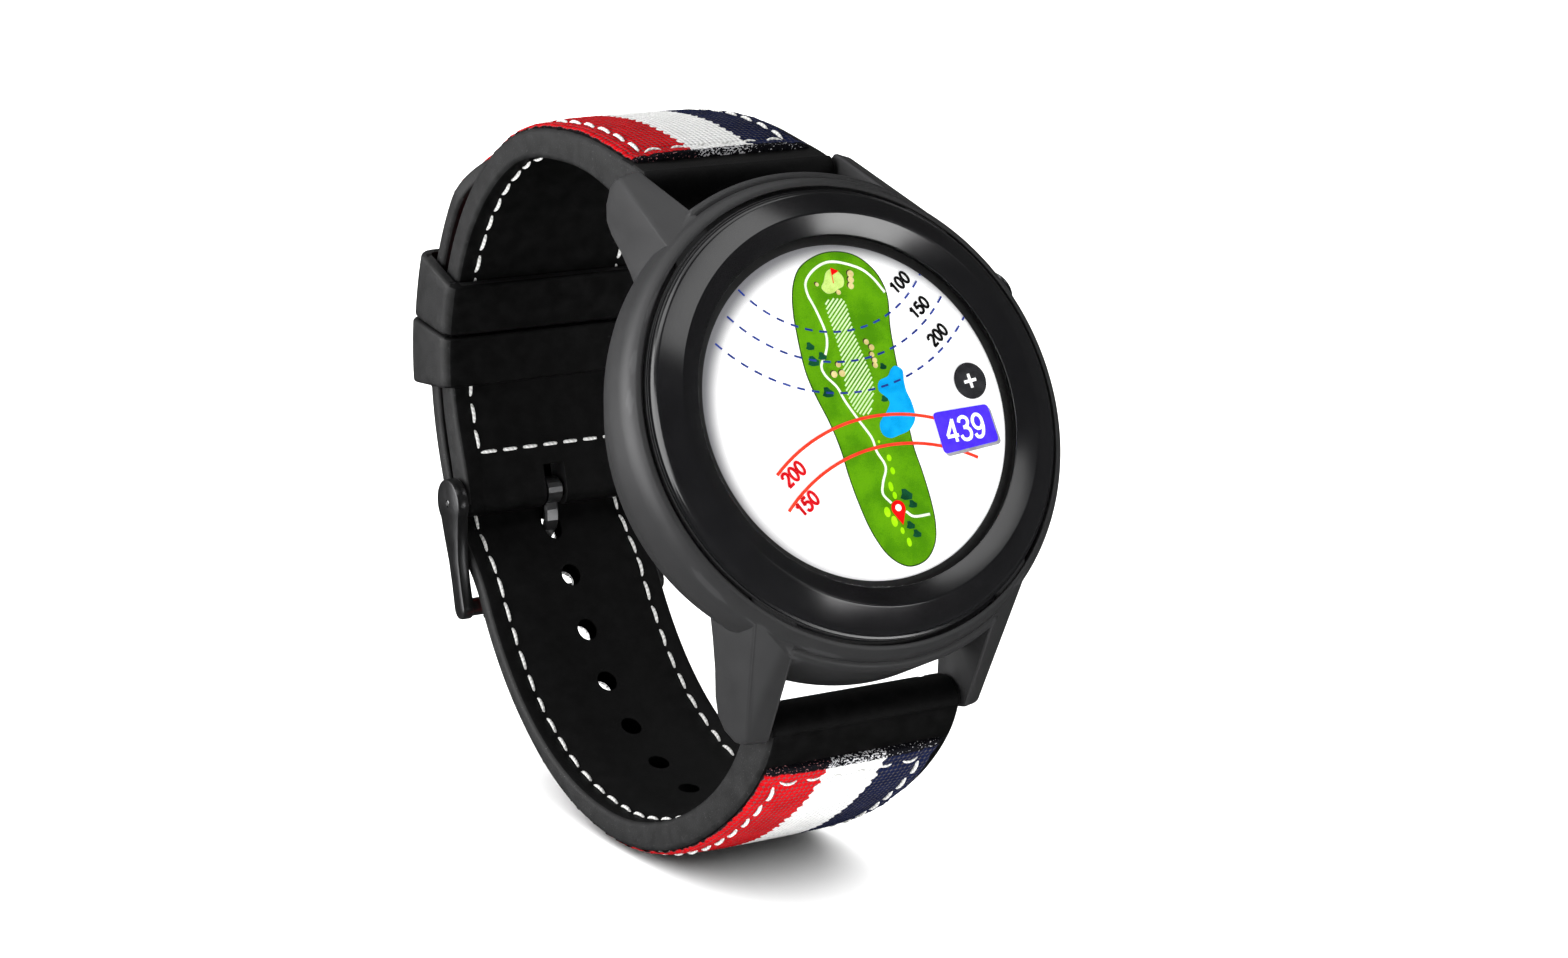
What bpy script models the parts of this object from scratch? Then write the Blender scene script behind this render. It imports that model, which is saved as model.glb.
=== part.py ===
"""Golf GPS watch: a round case on a buckled fabric-and-rubber strap, as separate pieces.

Units are metres, +Z is up and +X points to 3 o'clock. The watch stands on the bottom of its
strap loop with the dial leaning back. Dimensions below are in millimetres and are turned into
metres by MM. The case is modelled in its own frame: x to 3 o'clock, y to 12 o'clock, z out of
the dial, with z = 0 at the surface of the glass. The strap is modelled in the plane of its
side view (y to the back, z up), measured from the middle of the dial.
"""

import math

import bmesh
import bpy
from mathutils import Matrix, Vector
from mathutils.geometry import interpolate_bezier

MM = 0.001

# Where the middle of the dial stands above and in front of the origin, and how far it leans.
DIAL_CENTRE = (0.0, -32.156, 50.776)
LEAN_BACK = 25.2

# Case
CASE_RADIUS = 24.2
BRIDGE_RADIUS = 25.0
CASE_TOP = -0.85
CASE_BOTTOM = -12.5
CAVITY_RADIUS = 19.6
CAVITY_TOP = -3.9
FLANGE_TOP = -10.2
FLANGE_BOTTOM = -11.9
FLANGE_OPENING = 17.6
COVER_RECESS_RADIUS = 20.85
GLASS_SEAT = -1.35
GLASS_RADIUS = 18.4
GLASS_TOP = 0.2
GLASS_FLAT_RADIUS = 17.4
GLASS_BOTTOM = -0.35
DISPLAY_RADIUS = 16.7
COVER_BACK = -13.6
LUG_INNER_X = 11.3
LUG_TIP_X, LUG_TIP_V = 13.5, 28.4
LUG_ROOT_X, LUG_ROOT_V = 15.6, 17.6
BAR_V, BAR_H = 26.8, -13.6

# Push button at 2 o'clock
BUTTON_ANGLE = 27.0
BUTTON_H = -5.8
BUTTON_TOP = 26.2
BUTTON_RADIUS = 2.1
STEM_RADIUS = 0.75
BUTTON_BORE = 0.83

# Strap
STRAP_HALF_WIDTH = 11.0
FABRIC_HALF_WIDTH = 10.5
FABRIC_THICKNESS = 0.45
FABRIC_GAP = 0.05
LAYER_GAP = 0.3
WRAP_CENTRE = Vector((38.9, -6.2))
WRAP_RADIUS = 27.2
SHORT_THICKNESS = 2.9
TAIL_TIP_ANGLE = 52.0
HOLE_PITCH = 6.6
TONGUE_HOLE_BELOW_BAR = 4.3
HOLE_RADIUS = 1.1
HOLES_TO_LUG = 6
HOLES_TO_TIP = 2
STATION_STEP = 2.3

# Buckle
BUCKLE_BAR = Vector((64.3, -20.9))
BUCKLE_END = Vector((62.0, -32.4))
BUCKLE_END_RADIUS = 1.0
BUCKLE_INNER_X = 11.35
BUCKLE_OUTER_X = 12.75
TONGUE_WIDTH = 1.7
TONGUE_THICKNESS = 0.85

# Keepers, as arcs about the same centre as the strap they hold
KEEPER_INNER_X = 11.35
KEEPER_OUTER_X = 12.45
FIXED_KEEPER_ARC = (-4.4, 8.0)
FREE_KEEPER_ARC = (8.5, 21.5)

ROUND = 48
SMALL_ROUND = 16
TINY_ROUND = 10


# Building blocks ---------------------------------------------------------------------------


def clear_scene():
    for obj in list(bpy.data.objects):
        bpy.data.objects.remove(obj, do_unlink=True)


def material(name, colour, roughness, metallic=0.0):
    mat = bpy.data.materials.new(name)
    mat.use_nodes = True
    shader = mat.node_tree.nodes["Principled BSDF"]
    shader.inputs["Base Color"].default_value = (*colour, 1.0)
    shader.inputs["Roughness"].default_value = roughness
    shader.inputs["Metallic"].default_value = metallic
    return mat


def frame_at(name, location, rotation=(0.0, 0.0, 0.0), parent=None):
    empty = bpy.data.objects.new(name, None)
    empty.location = Vector(location) * MM
    empty.rotation_euler = rotation
    empty.parent = parent
    bpy.context.scene.collection.objects.link(empty)
    return empty


def mesh_object(name, vertices, faces, mat, parent, smooth_angle=35.0):
    """An object from points in millimetres; its faces are turned outwards."""
    mesh = bpy.data.meshes.new(name)
    mesh.from_pydata([Vector(v) * MM for v in vertices], [], faces)
    bm = bmesh.new()
    bm.from_mesh(mesh)
    bmesh.ops.recalc_face_normals(bm, faces=bm.faces)
    bm.to_mesh(mesh)
    bm.free()
    mesh.materials.append(mat)
    mesh.shade_smooth()
    mesh.set_sharp_from_angle(angle=math.radians(smooth_angle))
    obj = bpy.data.objects.new(name, mesh)
    obj.parent = parent
    bpy.context.scene.collection.objects.link(obj)
    return obj


def turned(name, profile, mat, parent, segments=ROUND):
    """A solid of revolution about local z. A profile that starts on the axis ends on it too."""
    vertices, rings = [], []
    for radius, height in profile:
        if radius == 0.0:
            rings.append([len(vertices)] * segments)
            vertices.append((0.0, 0.0, height))
            continue
        rings.append([len(vertices) + i for i in range(segments)])
        for i in range(segments):
            angle = 2.0 * math.pi * i / segments
            vertices.append((radius * math.cos(angle), radius * math.sin(angle), height))
    on_axis = profile[0][0] == 0.0
    pairs = list(zip(rings, rings[1:] + rings[:1]))
    if on_axis:
        pairs = pairs[:-1]
    faces = []
    for ring, following in pairs:
        for i in range(segments):
            j = (i + 1) % segments
            corners = [ring[i], ring[j], following[j], following[i]]
            corners = list(dict.fromkeys(corners))
            faces.append(corners)
    return mesh_object(name, vertices, faces, mat, parent)


def block(name, size, centre, mat, parent, edge=0.0):
    """A box whose object origin is its centre, with bevelled edges where edge is given."""
    x, y, z = (side / 2.0 for side in size)
    vertices = [(i * x, j * y, k * z) for i in (-1, 1) for j in (-1, 1) for k in (-1, 1)]
    faces = [(0, 1, 3, 2), (4, 6, 7, 5), (0, 4, 5, 1), (2, 3, 7, 6), (0, 2, 6, 4), (1, 5, 7, 3)]
    obj = mesh_object(name, vertices, faces, mat, parent)
    obj.location = Vector(centre) * MM
    if edge:
        bevel(obj, edge)
    return obj


def prism(name, outline, near, far, mat, parent, axis="x"):
    """An outline in a plane, extruded along x (outline in y, z) or along z (outline in x, y)."""
    def place(point, depth):
        return (depth, *point) if axis == "x" else (*point, depth)

    count = len(outline)
    vertices = [place(p, near) for p in outline] + [place(p, far) for p in outline]
    faces = [list(range(count)), list(range(count, 2 * count))]
    for i in range(count):
        j = (i + 1) % count
        faces.append([i, j, count + j, count + i])
    return mesh_object(name, vertices, faces, mat, parent)


def swept(name, sections, mat, parent):
    """A solid through a row of sections with equal numbers of points, closed at both ends."""
    count = len(sections[0])
    vertices = [point for section in sections for point in section]
    faces = [list(range(count)), list(range(len(vertices) - count, len(vertices)))]
    for row in range(len(sections) - 1):
        for i in range(count):
            j = (i + 1) % count
            a, b = row * count, (row + 1) * count
            faces.append([a + i, a + j, b + j, b + i])
    return mesh_object(name, vertices, faces, mat, parent)


def coil(name, radius, wire, start, end, turns, mat, parent, sides=5, steps=10):
    """A spring wound about local z."""
    sections = []
    total = turns * steps
    for i in range(total + 1):
        angle = 2.0 * math.pi * i / steps
        outward = Vector((math.cos(angle), math.sin(angle), 0.0))
        centre = outward * radius + Vector((0.0, 0.0, start + (end - start) * i / total))
        ring = []
        for side in range(sides):
            turn = 2.0 * math.pi * side / sides
            up = Vector((0.0, 0.0, math.sin(turn) * wire))
            ring.append(centre + outward * math.cos(turn) * wire + up)
        sections.append(ring)
    return swept(name, sections, mat, parent)


def ring_torus(name, radius, wire, height, mat, parent, sides=8):
    profile = []
    for side in range(sides):
        turn = 2.0 * math.pi * side / sides
        profile.append((radius + wire * math.cos(turn), height + wire * math.sin(turn)))
    return turned(name, profile, mat, parent, SMALL_ROUND)


def bevel(obj, width, segments=1):
    modifier = obj.modifiers.new("Bevel", "BEVEL")
    modifier.width = width * MM
    modifier.segments = segments
    modifier.limit_method = "ANGLE"
    modifier.angle_limit = math.radians(40.0)


def combine(obj, tool, operation):
    """A Boolean with a tool that is left out of the build."""
    tool.hide_render = True
    tool.display_type = "WIRE"
    modifier = obj.modifiers.new(tool.name, "BOOLEAN")
    modifier.operation = operation
    modifier.object = tool
    modifier.solver = "EXACT"


def lay_along_x(obj):
    """Turns an object made about local z so that its axis is x."""
    obj.rotation_euler = (0.0, math.radians(90.0), 0.0)


# Paths for the strap -----------------------------------------------------------------------


def bezier(start, start_direction, end, end_direction, reach_start=0.36, reach_end=0.36):
    chord = (end - start).length
    handle_a = start + start_direction.normalized() * chord * reach_start
    handle_b = end - end_direction.normalized() * chord * reach_end
    return interpolate_bezier(start, handle_a, handle_b, end, 24)


def wrap_point(angle, radius):
    turn = math.radians(angle)
    return WRAP_CENTRE + Vector((math.cos(turn), math.sin(turn))) * radius


def wrap_arc(start, end, radius):
    steps = max(2, round(abs(end - start) / 3.0))
    return [wrap_point(start + (end - start) * i / steps, radius) for i in range(steps + 1)]


def rising(angle):
    """The direction along the wrap at an angle, towards 12 o'clock."""
    turn = math.radians(angle)
    return Vector((-math.sin(turn), math.cos(turn)))


class Path:
    """A line in the side view, measured by its length, with its outward side on one hand."""

    def __init__(self, points, outward_hand):
        self.points = [points[0]]
        for point in points[1:]:
            if (point - self.points[-1]).length > 1e-4:
                self.points.append(point)
        self.hand = outward_hand
        self.lengths = [0.0]
        for a, b in zip(self.points, self.points[1:]):
            self.lengths.append(self.lengths[-1] + (b - a).length)
        self.length = self.lengths[-1]

    def at(self, distance):
        last = len(self.points) - 2
        index = next((i for i in range(last + 1) if self.lengths[i + 1] >= distance), last)
        span = self.lengths[index + 1] - self.lengths[index]
        share = (distance - self.lengths[index]) / span
        return self.points[index].lerp(self.points[index + 1], share)

    def direction(self, distance):
        ahead = self.at(min(distance + 0.4, self.length))
        behind = self.at(max(distance - 0.4, 0.0))
        return (ahead - behind).normalized()

    def outward(self, distance):
        direction = self.direction(distance)
        return Vector((direction.y, -direction.x)) * self.hand

    def distance_to(self, point):
        nearest = min(range(len(self.points)), key=lambda i: (self.points[i] - point).length)
        return self.lengths[nearest]


def blend_keys(keys, distance):
    """Straight-line interpolation in (distance, value) keys."""
    if distance <= keys[0][0]:
        return keys[0][1]
    for (a, value_a), (b, value_b) in zip(keys, keys[1:]):
        if distance <= b:
            return value_a + (value_b - value_a) * (distance - a) / (b - a)
    return keys[-1][1]


def stations(start, end, step=STATION_STEP):
    count = max(2, round((end - start) / step))
    return [start + (end - start) * i / count for i in range(count + 1)]


def band_section(point, outward, half_width, inner, outer, corner):
    """One cross-section of a strap: a bar across x with chamfered corners."""
    corner = min(corner, 0.45 * (outer - inner), 0.45 * half_width)
    if corner > 0.0:
        shape = [
            (half_width, inner + corner), (half_width, outer - corner),
            (half_width - corner, outer), (corner - half_width, outer),
            (-half_width, outer - corner), (-half_width, inner + corner),
            (corner - half_width, inner), (half_width - corner, inner),
        ]
    else:
        shape = [(half_width, inner), (half_width, outer), (-half_width, outer), (-half_width, inner)]
    section = []
    for x, offset in shape:
        place = point + outward * offset
        section.append((x, place.x, place.y))
    return section


def turned_end(centre, away, outward, inner, outer, reach):
    """Sections that close a strap with a half round that reaches past a bar."""
    sections = []
    for angle in (80.0, 58.0, 36.0, 14.0):
        turn = math.radians(angle)
        point = centre + away * reach * math.cos(turn)
        sections.append(band_section(
            point, outward, STRAP_HALF_WIDTH, inner * math.sin(turn), outer * math.sin(turn), 0.5))
    return sections[::-1]


def in_plane(vector_in_case):
    """A (y, z) case-frame position as a side-view position."""
    lean = math.radians(LEAN_BACK)
    v, h = vector_in_case
    return Vector((v * math.sin(lean) - h * math.cos(lean), v * math.cos(lean) + h * math.sin(lean)))


UPPER_BAR = in_plane((BAR_V, BAR_H))
LOWER_BAR = in_plane((-BAR_V, BAR_H))
LUG_END_INNER = 2.4
LUG_END_OUTER = 2.9
LUG_END_REACH = 1.75
SHORT_ARC = (60.0, -2.0)
LONG_ARC_START = -8.0
LONG_OFFSET = SHORT_THICKNESS + FABRIC_GAP + FABRIC_THICKNESS + LAYER_GAP
BUCKLE_DOWN = (BUCKLE_END - BUCKLE_BAR).normalized()
BUCKLE_OUT = Vector((-BUCKLE_DOWN.y, BUCKLE_DOWN.x))
SHORT_END_HALF = 1.8


def short_strap_path():
    """The wrist side of the 12 o'clock strap, from its lug bar to the buckle bar."""
    leaving = Vector((0.93, 0.37)).normalized()
    start = UPPER_BAR - Vector((-leaving.y, leaving.x)) * LUG_END_INNER
    crown = Vector((39.5, 19.85))
    arc_start = wrap_point(SHORT_ARC[0], WRAP_RADIUS)
    arc_end = wrap_point(SHORT_ARC[1], WRAP_RADIUS)
    points = bezier(start, leaving, crown, Vector((1.0, 0.0)))
    points += bezier(crown, Vector((1.0, 0.0)), arc_start, -rising(SHORT_ARC[0]))
    points += wrap_arc(*SHORT_ARC, WRAP_RADIUS)
    end = BUCKLE_BAR - BUCKLE_OUT * SHORT_END_HALF
    points += bezier(arc_end, -rising(SHORT_ARC[1]), end, BUCKLE_DOWN)
    return Path(points, -1.0)


def long_strap_path():
    """The wrist side of the 6 o'clock strap, from its lug bar through the buckle to its tip."""
    leaving = Vector((0.2, -0.98)).normalized()
    start = LOWER_BAR + Vector((-leaving.y, leaving.x)) * LUG_END_INNER
    bottom = Vector((30.8, -47.45))
    through_end = Vector((58.85, -30.6))
    over_bar = BUCKLE_BAR + BUCKLE_OUT * (SHORT_END_HALF + LAYER_GAP)
    arc_radius = WRAP_RADIUS + LONG_OFFSET
    arc_start = wrap_point(LONG_ARC_START, arc_radius)
    points = bezier(start, leaving, bottom, Vector((1.0, 0.0)), 0.28)
    points += bezier(bottom, Vector((1.0, 0.0)), through_end, Vector((0.5, 0.866)), 0.38, 0.38)
    points += bezier(through_end, Vector((0.5, 0.866)), over_bar, Vector((0.36, 0.93)))
    points += bezier(over_bar, Vector((0.36, 0.93)), arc_start, rising(LONG_ARC_START))
    points += wrap_arc(LONG_ARC_START, TAIL_TIP_ANGLE, arc_radius)
    return Path(points, 1.0)


# Case pieces -------------------------------------------------------------------------------


def lug_tool(parent, mat):
    """One lug at 12 o'clock on the +x side, mirrored to the other three places."""
    side = [
        (13.0, -1.1), (17.6, -1.1), (28.4, -11.9), (28.6, -12.9), (28.1, -14.2), (26.7, -15.2),
        (25.0, -15.3), (23.2, -14.3), (20.6, -12.2), (18.4, -10.6), (15.0, -9.6),
    ]
    face_at_inner = {1: (20.4, -1.1), 2: (29.0, -11.5)}
    inner, outer = [], []
    for index, (v, h) in enumerate(side):
        inner_v, inner_h = face_at_inner.get(index, (v, h))
        inner.append((LUG_INNER_X, inner_v, inner_h))
        spread = min(1.0, max(0.0, (LUG_TIP_V - v) / (LUG_TIP_V - LUG_ROOT_V)))
        outer.append((LUG_TIP_X + (LUG_ROOT_X - LUG_TIP_X) * spread, v, h))
    count = len(side)
    faces = [list(range(count)), list(range(count, 2 * count))]
    faces += [[i, (i + 1) % count, count + (i + 1) % count, count + i] for i in range(count)]
    lug = mesh_object("lug_tool", inner + outer, faces, mat, parent)
    bevel(lug, 0.35)
    mirror = lug.modifiers.new("Mirror", "MIRROR")
    mirror.use_axis = (True, True, False)
    mirror.use_mirror_merge = False
    return lug


def bridge_tool(parent, mat):
    """The fuller stretch of case between each pair of lugs."""
    half_angle = 29.0
    outline = []
    for i in range(13):
        angle = math.radians(90.0 - half_angle + 2.0 * half_angle * i / 12)
        outline.append((BRIDGE_RADIUS * math.cos(angle), BRIDGE_RADIUS * math.sin(angle)))
    outline += [(outline[-1][0], 17.0), (outline[0][0], 17.0)]
    bridge = prism("bridge_tool", outline, -10.6, -2.6, mat, parent, axis="z")
    bevel(bridge, 0.9, 2)
    mirror = bridge.modifiers.new("Mirror", "MIRROR")
    mirror.use_axis = (False, True, False)
    mirror.use_mirror_merge = False
    return bridge


def spoke_frame(name, parent, angle, height):
    """A frame whose local z points outwards from the case axis at an angle from 3 o'clock."""
    turn = math.radians(angle)
    outward = Vector((math.cos(turn), math.sin(turn), 0.0))
    up = Vector((0.0, 0.0, 1.0))
    across = outward.cross(up)
    empty = frame_at(name, (0.0, 0.0, height), parent=parent)
    empty.rotation_euler = Matrix((up, across, outward)).transposed().to_euler()
    return empty


def screw_places():
    for number in range(4):
        angle = math.radians(45.0 + 90.0 * number)
        yield number + 1, (19.4 * math.cos(angle), 19.4 * math.sin(angle))


def build_case(case, spoke, black, tool):
    body = turned("case_body", [
        (0.0, CASE_TOP), (22.4, CASE_TOP), (22.4, -1.6), (22.85, -1.6), (22.85, CASE_TOP),
        (23.3, -0.95), (23.9, -1.6), (CASE_RADIUS, -2.6), (CASE_RADIUS, -6.2), (23.3, -8.1),
        (22.2, -10.2), (21.5, -11.9), (21.1, CASE_BOTTOM), (0.0, CASE_BOTTOM),
    ], black, case)
    combine(body, bridge_tool(case, tool), "UNION")
    combine(body, lug_tool(case, tool), "UNION")
    cavity = turned("cavity_tool", [
        (0.0, 2.0), (18.65, 2.0), (18.65, GLASS_SEAT), (17.75, GLASS_SEAT), (17.75, CAVITY_TOP),
        (CAVITY_RADIUS, CAVITY_TOP), (CAVITY_RADIUS, FLANGE_TOP), (FLANGE_OPENING, FLANGE_TOP),
        (FLANGE_OPENING, FLANGE_BOTTOM), (COVER_RECESS_RADIUS, FLANGE_BOTTOM),
        (COVER_RECESS_RADIUS, -14.0), (0.0, -14.0),
    ], tool, case)
    combine(body, cavity, "DIFFERENCE")
    bore = turned("button_bore_tool", [
        (0.0, 18.5), (BUTTON_BORE, 18.5), (BUTTON_BORE, 20.6), (1.35, 20.6), (1.35, 21.3),
        (BUTTON_BORE, 21.3), (BUTTON_BORE, 22.3), (1.75, 22.3), (1.75, 26.0), (0.0, 26.0),
    ], tool, spoke, SMALL_ROUND)
    combine(body, bore, "DIFFERENCE")
    for side in (-1, 1):
        for end in (-1, 1):
            hole = turned(f"bar_hole_tool_{side}_{end}", [
                (0.0, -1.0), (0.52, -1.0), (0.52, 1.0), (0.0, 1.0),
            ], tool, case, TINY_ROUND)
            hole.location = Vector((side * 11.9, end * BAR_V, BAR_H)) * MM
            lay_along_x(hole)
            combine(body, hole, "DIFFERENCE")
    for number, (x, y) in screw_places():
        hole = turned(f"screw_hole_tool_{number}", [
            (0.0, -12.6), (0.5, -12.6), (0.5, -10.5), (0.0, -10.5),
        ], tool, case, TINY_ROUND)
        hole.location = Vector((x, y, 0.0)) * MM
        combine(body, hole, "DIFFERENCE")
    return body


def build_front(case, gloss, glass, dark, screen, steel):
    turned("bezel_ring", [
        (17.5, 0.38), (19.4, 1.3), (19.55, 1.33), (19.75, 1.27), (21.75, 0.2), (21.98, -0.1),
        (22.1, -0.45), (22.35, -0.5), (22.35, -0.75), (18.75, -0.75), (18.75, 0.3), (17.5, 0.3),
    ], gloss, case)
    turned("cover_glass", [
        (0.0, GLASS_TOP), (GLASS_FLAT_RADIUS, GLASS_TOP), (17.6, 0.1), (18.3, 0.1), (GLASS_RADIUS, 0.0),
        (GLASS_RADIUS, GLASS_BOTTOM), (0.0, GLASS_BOTTOM),
    ], glass, case)
    turned("lens_gasket", [(17.85, -0.38), (18.3, -0.38), (18.3, -1.28), (17.85, -1.28)], dark, case, 48)
    turned("display_mask", [
        (DISPLAY_RADIUS, -0.38), (17.6, -0.38), (17.6, -0.48), (DISPLAY_RADIUS, -0.48),
    ], dark, case)
    turned("display_panel", [(0.0, -0.53), (17.5, -0.53), (17.5, -3.0), (0.0, -3.0)], screen, case)
    turned("display_bracket", [
        (6.0, -3.1), (17.4, -3.1), (17.4, -3.7), (6.0, -3.7),
    ], steel, case, 48)


def build_electronics(case, spoke, board, steel, silver, ceramic, dark, brass):
    turned("main_board", [(0.0, -4.2), (16.8, -4.2), (16.8, -4.9), (0.0, -4.9)], board, case, 48)
    block("processor_shield", (11.0, 8.0, 1.4), (-4.5, 3.0, -5.75), steel, case)
    block("gps_antenna", (11.0, 5.4, 3.2), (0.0, 12.4, -6.7), ceramic, case)
    block("battery", (22.0, 15.0, 4.0), (0.0, -1.6, -9.75), silver, case, 0.6)
    can = turned("motor_can", [
        (0.0, -3.5), (1.7, -3.5), (1.9, -3.3), (1.9, 3.5), (0.5, 3.5), (0.5, 0.5), (0.0, 0.5),
    ], steel, case, SMALL_ROUND)
    can.location = Vector((-2.5, -13.2, -6.95)) * MM
    lay_along_x(can)
    shaft = turned("motor_weight", [(0.0, 1.0), (0.4, 1.0), (0.4, 7.2), (0.0, 7.2)], steel, case, TINY_ROUND)
    shaft.location = can.location
    lay_along_x(shaft)
    half_disc = [(1.6 * math.cos(a), 1.6 * math.sin(a)) for a in
                 [math.radians(18.0 * i) for i in range(11)]]
    weight = prism("weight_tool", half_disc + [(-0.3, -0.25), (0.3, -0.25)], 4.1, 6.8, steel, case, "z")
    weight.location = can.location
    lay_along_x(weight)
    combine(shaft, weight, "UNION")

    switch = block("tact_switch", (1.6, 3.2, 2.0), (0.0, 0.0, 16.4), dark, spoke)
    pocket = turned("switch_bore_tool", [(0.0, 16.2), (0.6, 16.2), (0.6, 18.0), (0.0, 18.0)], dark, spoke, TINY_ROUND)
    combine(switch, pocket, "DIFFERENCE")
    turned("switch_plunger", [(0.0, 16.7), (0.5, 16.7), (0.5, 18.15), (0.0, 18.15)], brass, spoke, TINY_ROUND)


def build_button(spoke, metal, rubber, steel):
    turned("button_cap", [
        (0.0, 18.25), (STEM_RADIUS, 18.25), (STEM_RADIUS, 19.0), (0.55, 19.0), (0.55, 19.35),
        (STEM_RADIUS, 19.35), (STEM_RADIUS, 24.65), (BUTTON_RADIUS - 0.1, 24.65),
        (BUTTON_RADIUS, 24.8), (BUTTON_RADIUS, BUTTON_TOP - 0.45),
        (BUTTON_RADIUS - 0.35, BUTTON_TOP - 0.1), (0.9, BUTTON_TOP), (0.0, BUTTON_TOP),
    ], metal, spoke, SMALL_ROUND)
    clip = turned("button_clip", [(0.62, 19.05), (1.5, 19.05), (1.5, 19.3), (0.62, 19.3)], steel, spoke, SMALL_ROUND)
    gap = block("clip_gap_tool", (2.4, 1.0, 1.0), (-1.2, 0.0, 19.2), steel, spoke)
    combine(clip, gap, "DIFFERENCE")
    ring_torus("button_seal", 1.05, 0.21, 20.95, rubber, spoke)
    coil("button_spring", 1.3, 0.14, 22.5, 24.05, 3, steel, spoke)


def build_back(case, cover_mat, rubber, steel, gold):
    cover = turned("rear_cover", [
        (0.0, -12.0), (17.7, -12.0), (17.7, -12.45), (18.5, -12.45), (18.5, -12.0), (20.6, -12.0),
        (20.6, -12.7), (19.9, -13.2), (14.5, COVER_BACK), (0.0, COVER_BACK),
    ], cover_mat, case)
    turned("rear_gasket", [(17.8, -11.95), (18.4, -11.95), (18.4, -12.4), (17.8, -12.4)], rubber, case, 48)
    for number, (x, y) in screw_places():
        hole = turned(f"cover_hole_tool_{number}", [
            (0.0, -11.5), (0.5, -11.5), (0.5, -12.6), (0.8, -12.6), (0.8, -14.0), (0.0, -14.0),
        ], steel, case, TINY_ROUND)
        hole.location = Vector((x, y, 0.0)) * MM
        combine(cover, hole, "DIFFERENCE")
        screw = turned(f"rear_screw_{number}", [
            (0.0, -10.7), (0.38, -10.7), (0.38, -12.68), (0.7, -12.68), (0.7, -13.1), (0.25, -13.1),
            (0.25, -12.9), (0.0, -12.9),
        ], steel, case, TINY_ROUND)
        screw.location = hole.location
    for number in range(4):
        x = (number - 1.5) * 2.6
        hole = turned(f"contact_hole_tool_{number + 1}", [
            (0.0, -11.0), (0.8, -11.0), (0.8, -14.0), (0.0, -14.0),
        ], steel, case, TINY_ROUND)
        hole.location = Vector((x, 8.5, 0.0)) * MM
        combine(cover, hole, "DIFFERENCE")
        contact = turned(f"charge_contact_{number + 1}", [
            (0.0, -11.5), (1.1, -11.5), (1.1, -11.9), (0.7, -11.9), (0.7, -13.45), (0.0, -13.45),
        ], gold, case, TINY_ROUND)
        contact.location = hole.location


def build_spring_bar(prefix, frame, radius, bore, half_length, pin, rest, steel):
    """A telescopic bar about local x: a tube, a sprung pin at each end and the spring between."""
    tube = turned(f"{prefix}_tube", [
        (bore, -half_length), (radius, -half_length), (radius, half_length), (bore, half_length),
    ], steel, frame, SMALL_ROUND)
    lay_along_x(tube)
    inner, shoulder, tip = rest
    for side, label in ((-1, "left"), (1, "right")):
        piece = turned(f"{prefix}_pin_{label}", [
            (0.0, inner), (pin, inner), (pin, shoulder), (pin + 0.25, shoulder),
            (pin + 0.25, shoulder + 0.4), (pin, shoulder + 0.4), (pin, tip - 0.1), (pin - 0.1, tip),
            (0.0, tip),
        ], steel, frame, TINY_ROUND)
        piece.rotation_euler = (0.0, math.radians(90.0 * side), 0.0)
    reach = inner - 1.6
    spring = coil(f"{prefix}_spring", 0.5 * bore, 0.1, -reach, reach, 6, steel, frame, 4, 6)
    lay_along_x(spring)


# Strap pieces ------------------------------------------------------------------------------


def build_short_strap(side, rubber, cloth, tool):
    path = short_strap_path()
    end = path.length
    arc_end = path.distance_to(wrap_point(SHORT_ARC[1], WRAP_RADIUS))
    keys = [(0.0, LUG_END_INNER + LUG_END_OUTER), (5.0, 4.2), (12.0, 3.5), (26.0, SHORT_THICKNESS),
            (arc_end, SHORT_THICKNESS), (end, 2.0 * SHORT_END_HALF)]
    sections = turned_end(UPPER_BAR, -path.direction(0.0), path.outward(0.0), -LUG_END_INNER,
                          LUG_END_OUTER, LUG_END_REACH)
    for distance in stations(0.0, end):
        sections.append(band_section(
            path.at(distance), path.outward(distance), STRAP_HALF_WIDTH, 0.0,
            blend_keys(keys, distance), 0.5))
    sections += turned_end(BUCKLE_BAR, BUCKLE_DOWN, BUCKLE_OUT, -SHORT_END_HALF, SHORT_END_HALF,
                           SHORT_END_HALF)[::-1]
    base = swept("strap_short", sections, rubber, side)
    cut_bar_bore(base, "upper_bore_tool", UPPER_BAR, 1.0, tool, side)
    cut_bar_bore(base, "buckle_bore_tool", BUCKLE_BAR, 0.84, tool, side)
    slot = block("tongue_slot_tool", (2.6, 6.4, 6.4), (0.0, 0.0, 0.0), tool, side)
    slot.location = Vector((0.0, *(BUCKLE_BAR + BUCKLE_DOWN * 0.2))) * MM
    slot.rotation_euler = (math.atan2(BUCKLE_DOWN.y, BUCKLE_DOWN.x), 0.0, 0.0)
    combine(base, slot, "DIFFERENCE")

    sections = []
    for distance in cloth_stations(path, 2.3, arc_end + 2.3):
        low = blend_keys(keys, distance) + FABRIC_GAP
        sections.append(band_section(
            path.at(distance), path.outward(distance), FABRIC_HALF_WIDTH, low,
            low + FABRIC_THICKNESS, 0.0))
    swept("strap_short_fabric", sections, cloth, side)


def cloth_stations(path, start, end):
    """The strap's own stations between two distances, so that the cloth follows its facets."""
    return [d for d in stations(0.0, path.length) if start - 0.1 <= d <= end + 0.1]


def tip_width(half_width, to_tip):
    """The half width of the strap at a distance from its rounded tip."""
    rounding = 9.0
    if to_tip >= rounding:
        return half_width
    share = 1.0 - to_tip / rounding
    return half_width * math.sqrt(max(0.03, 1.0 - share * share))


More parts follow.
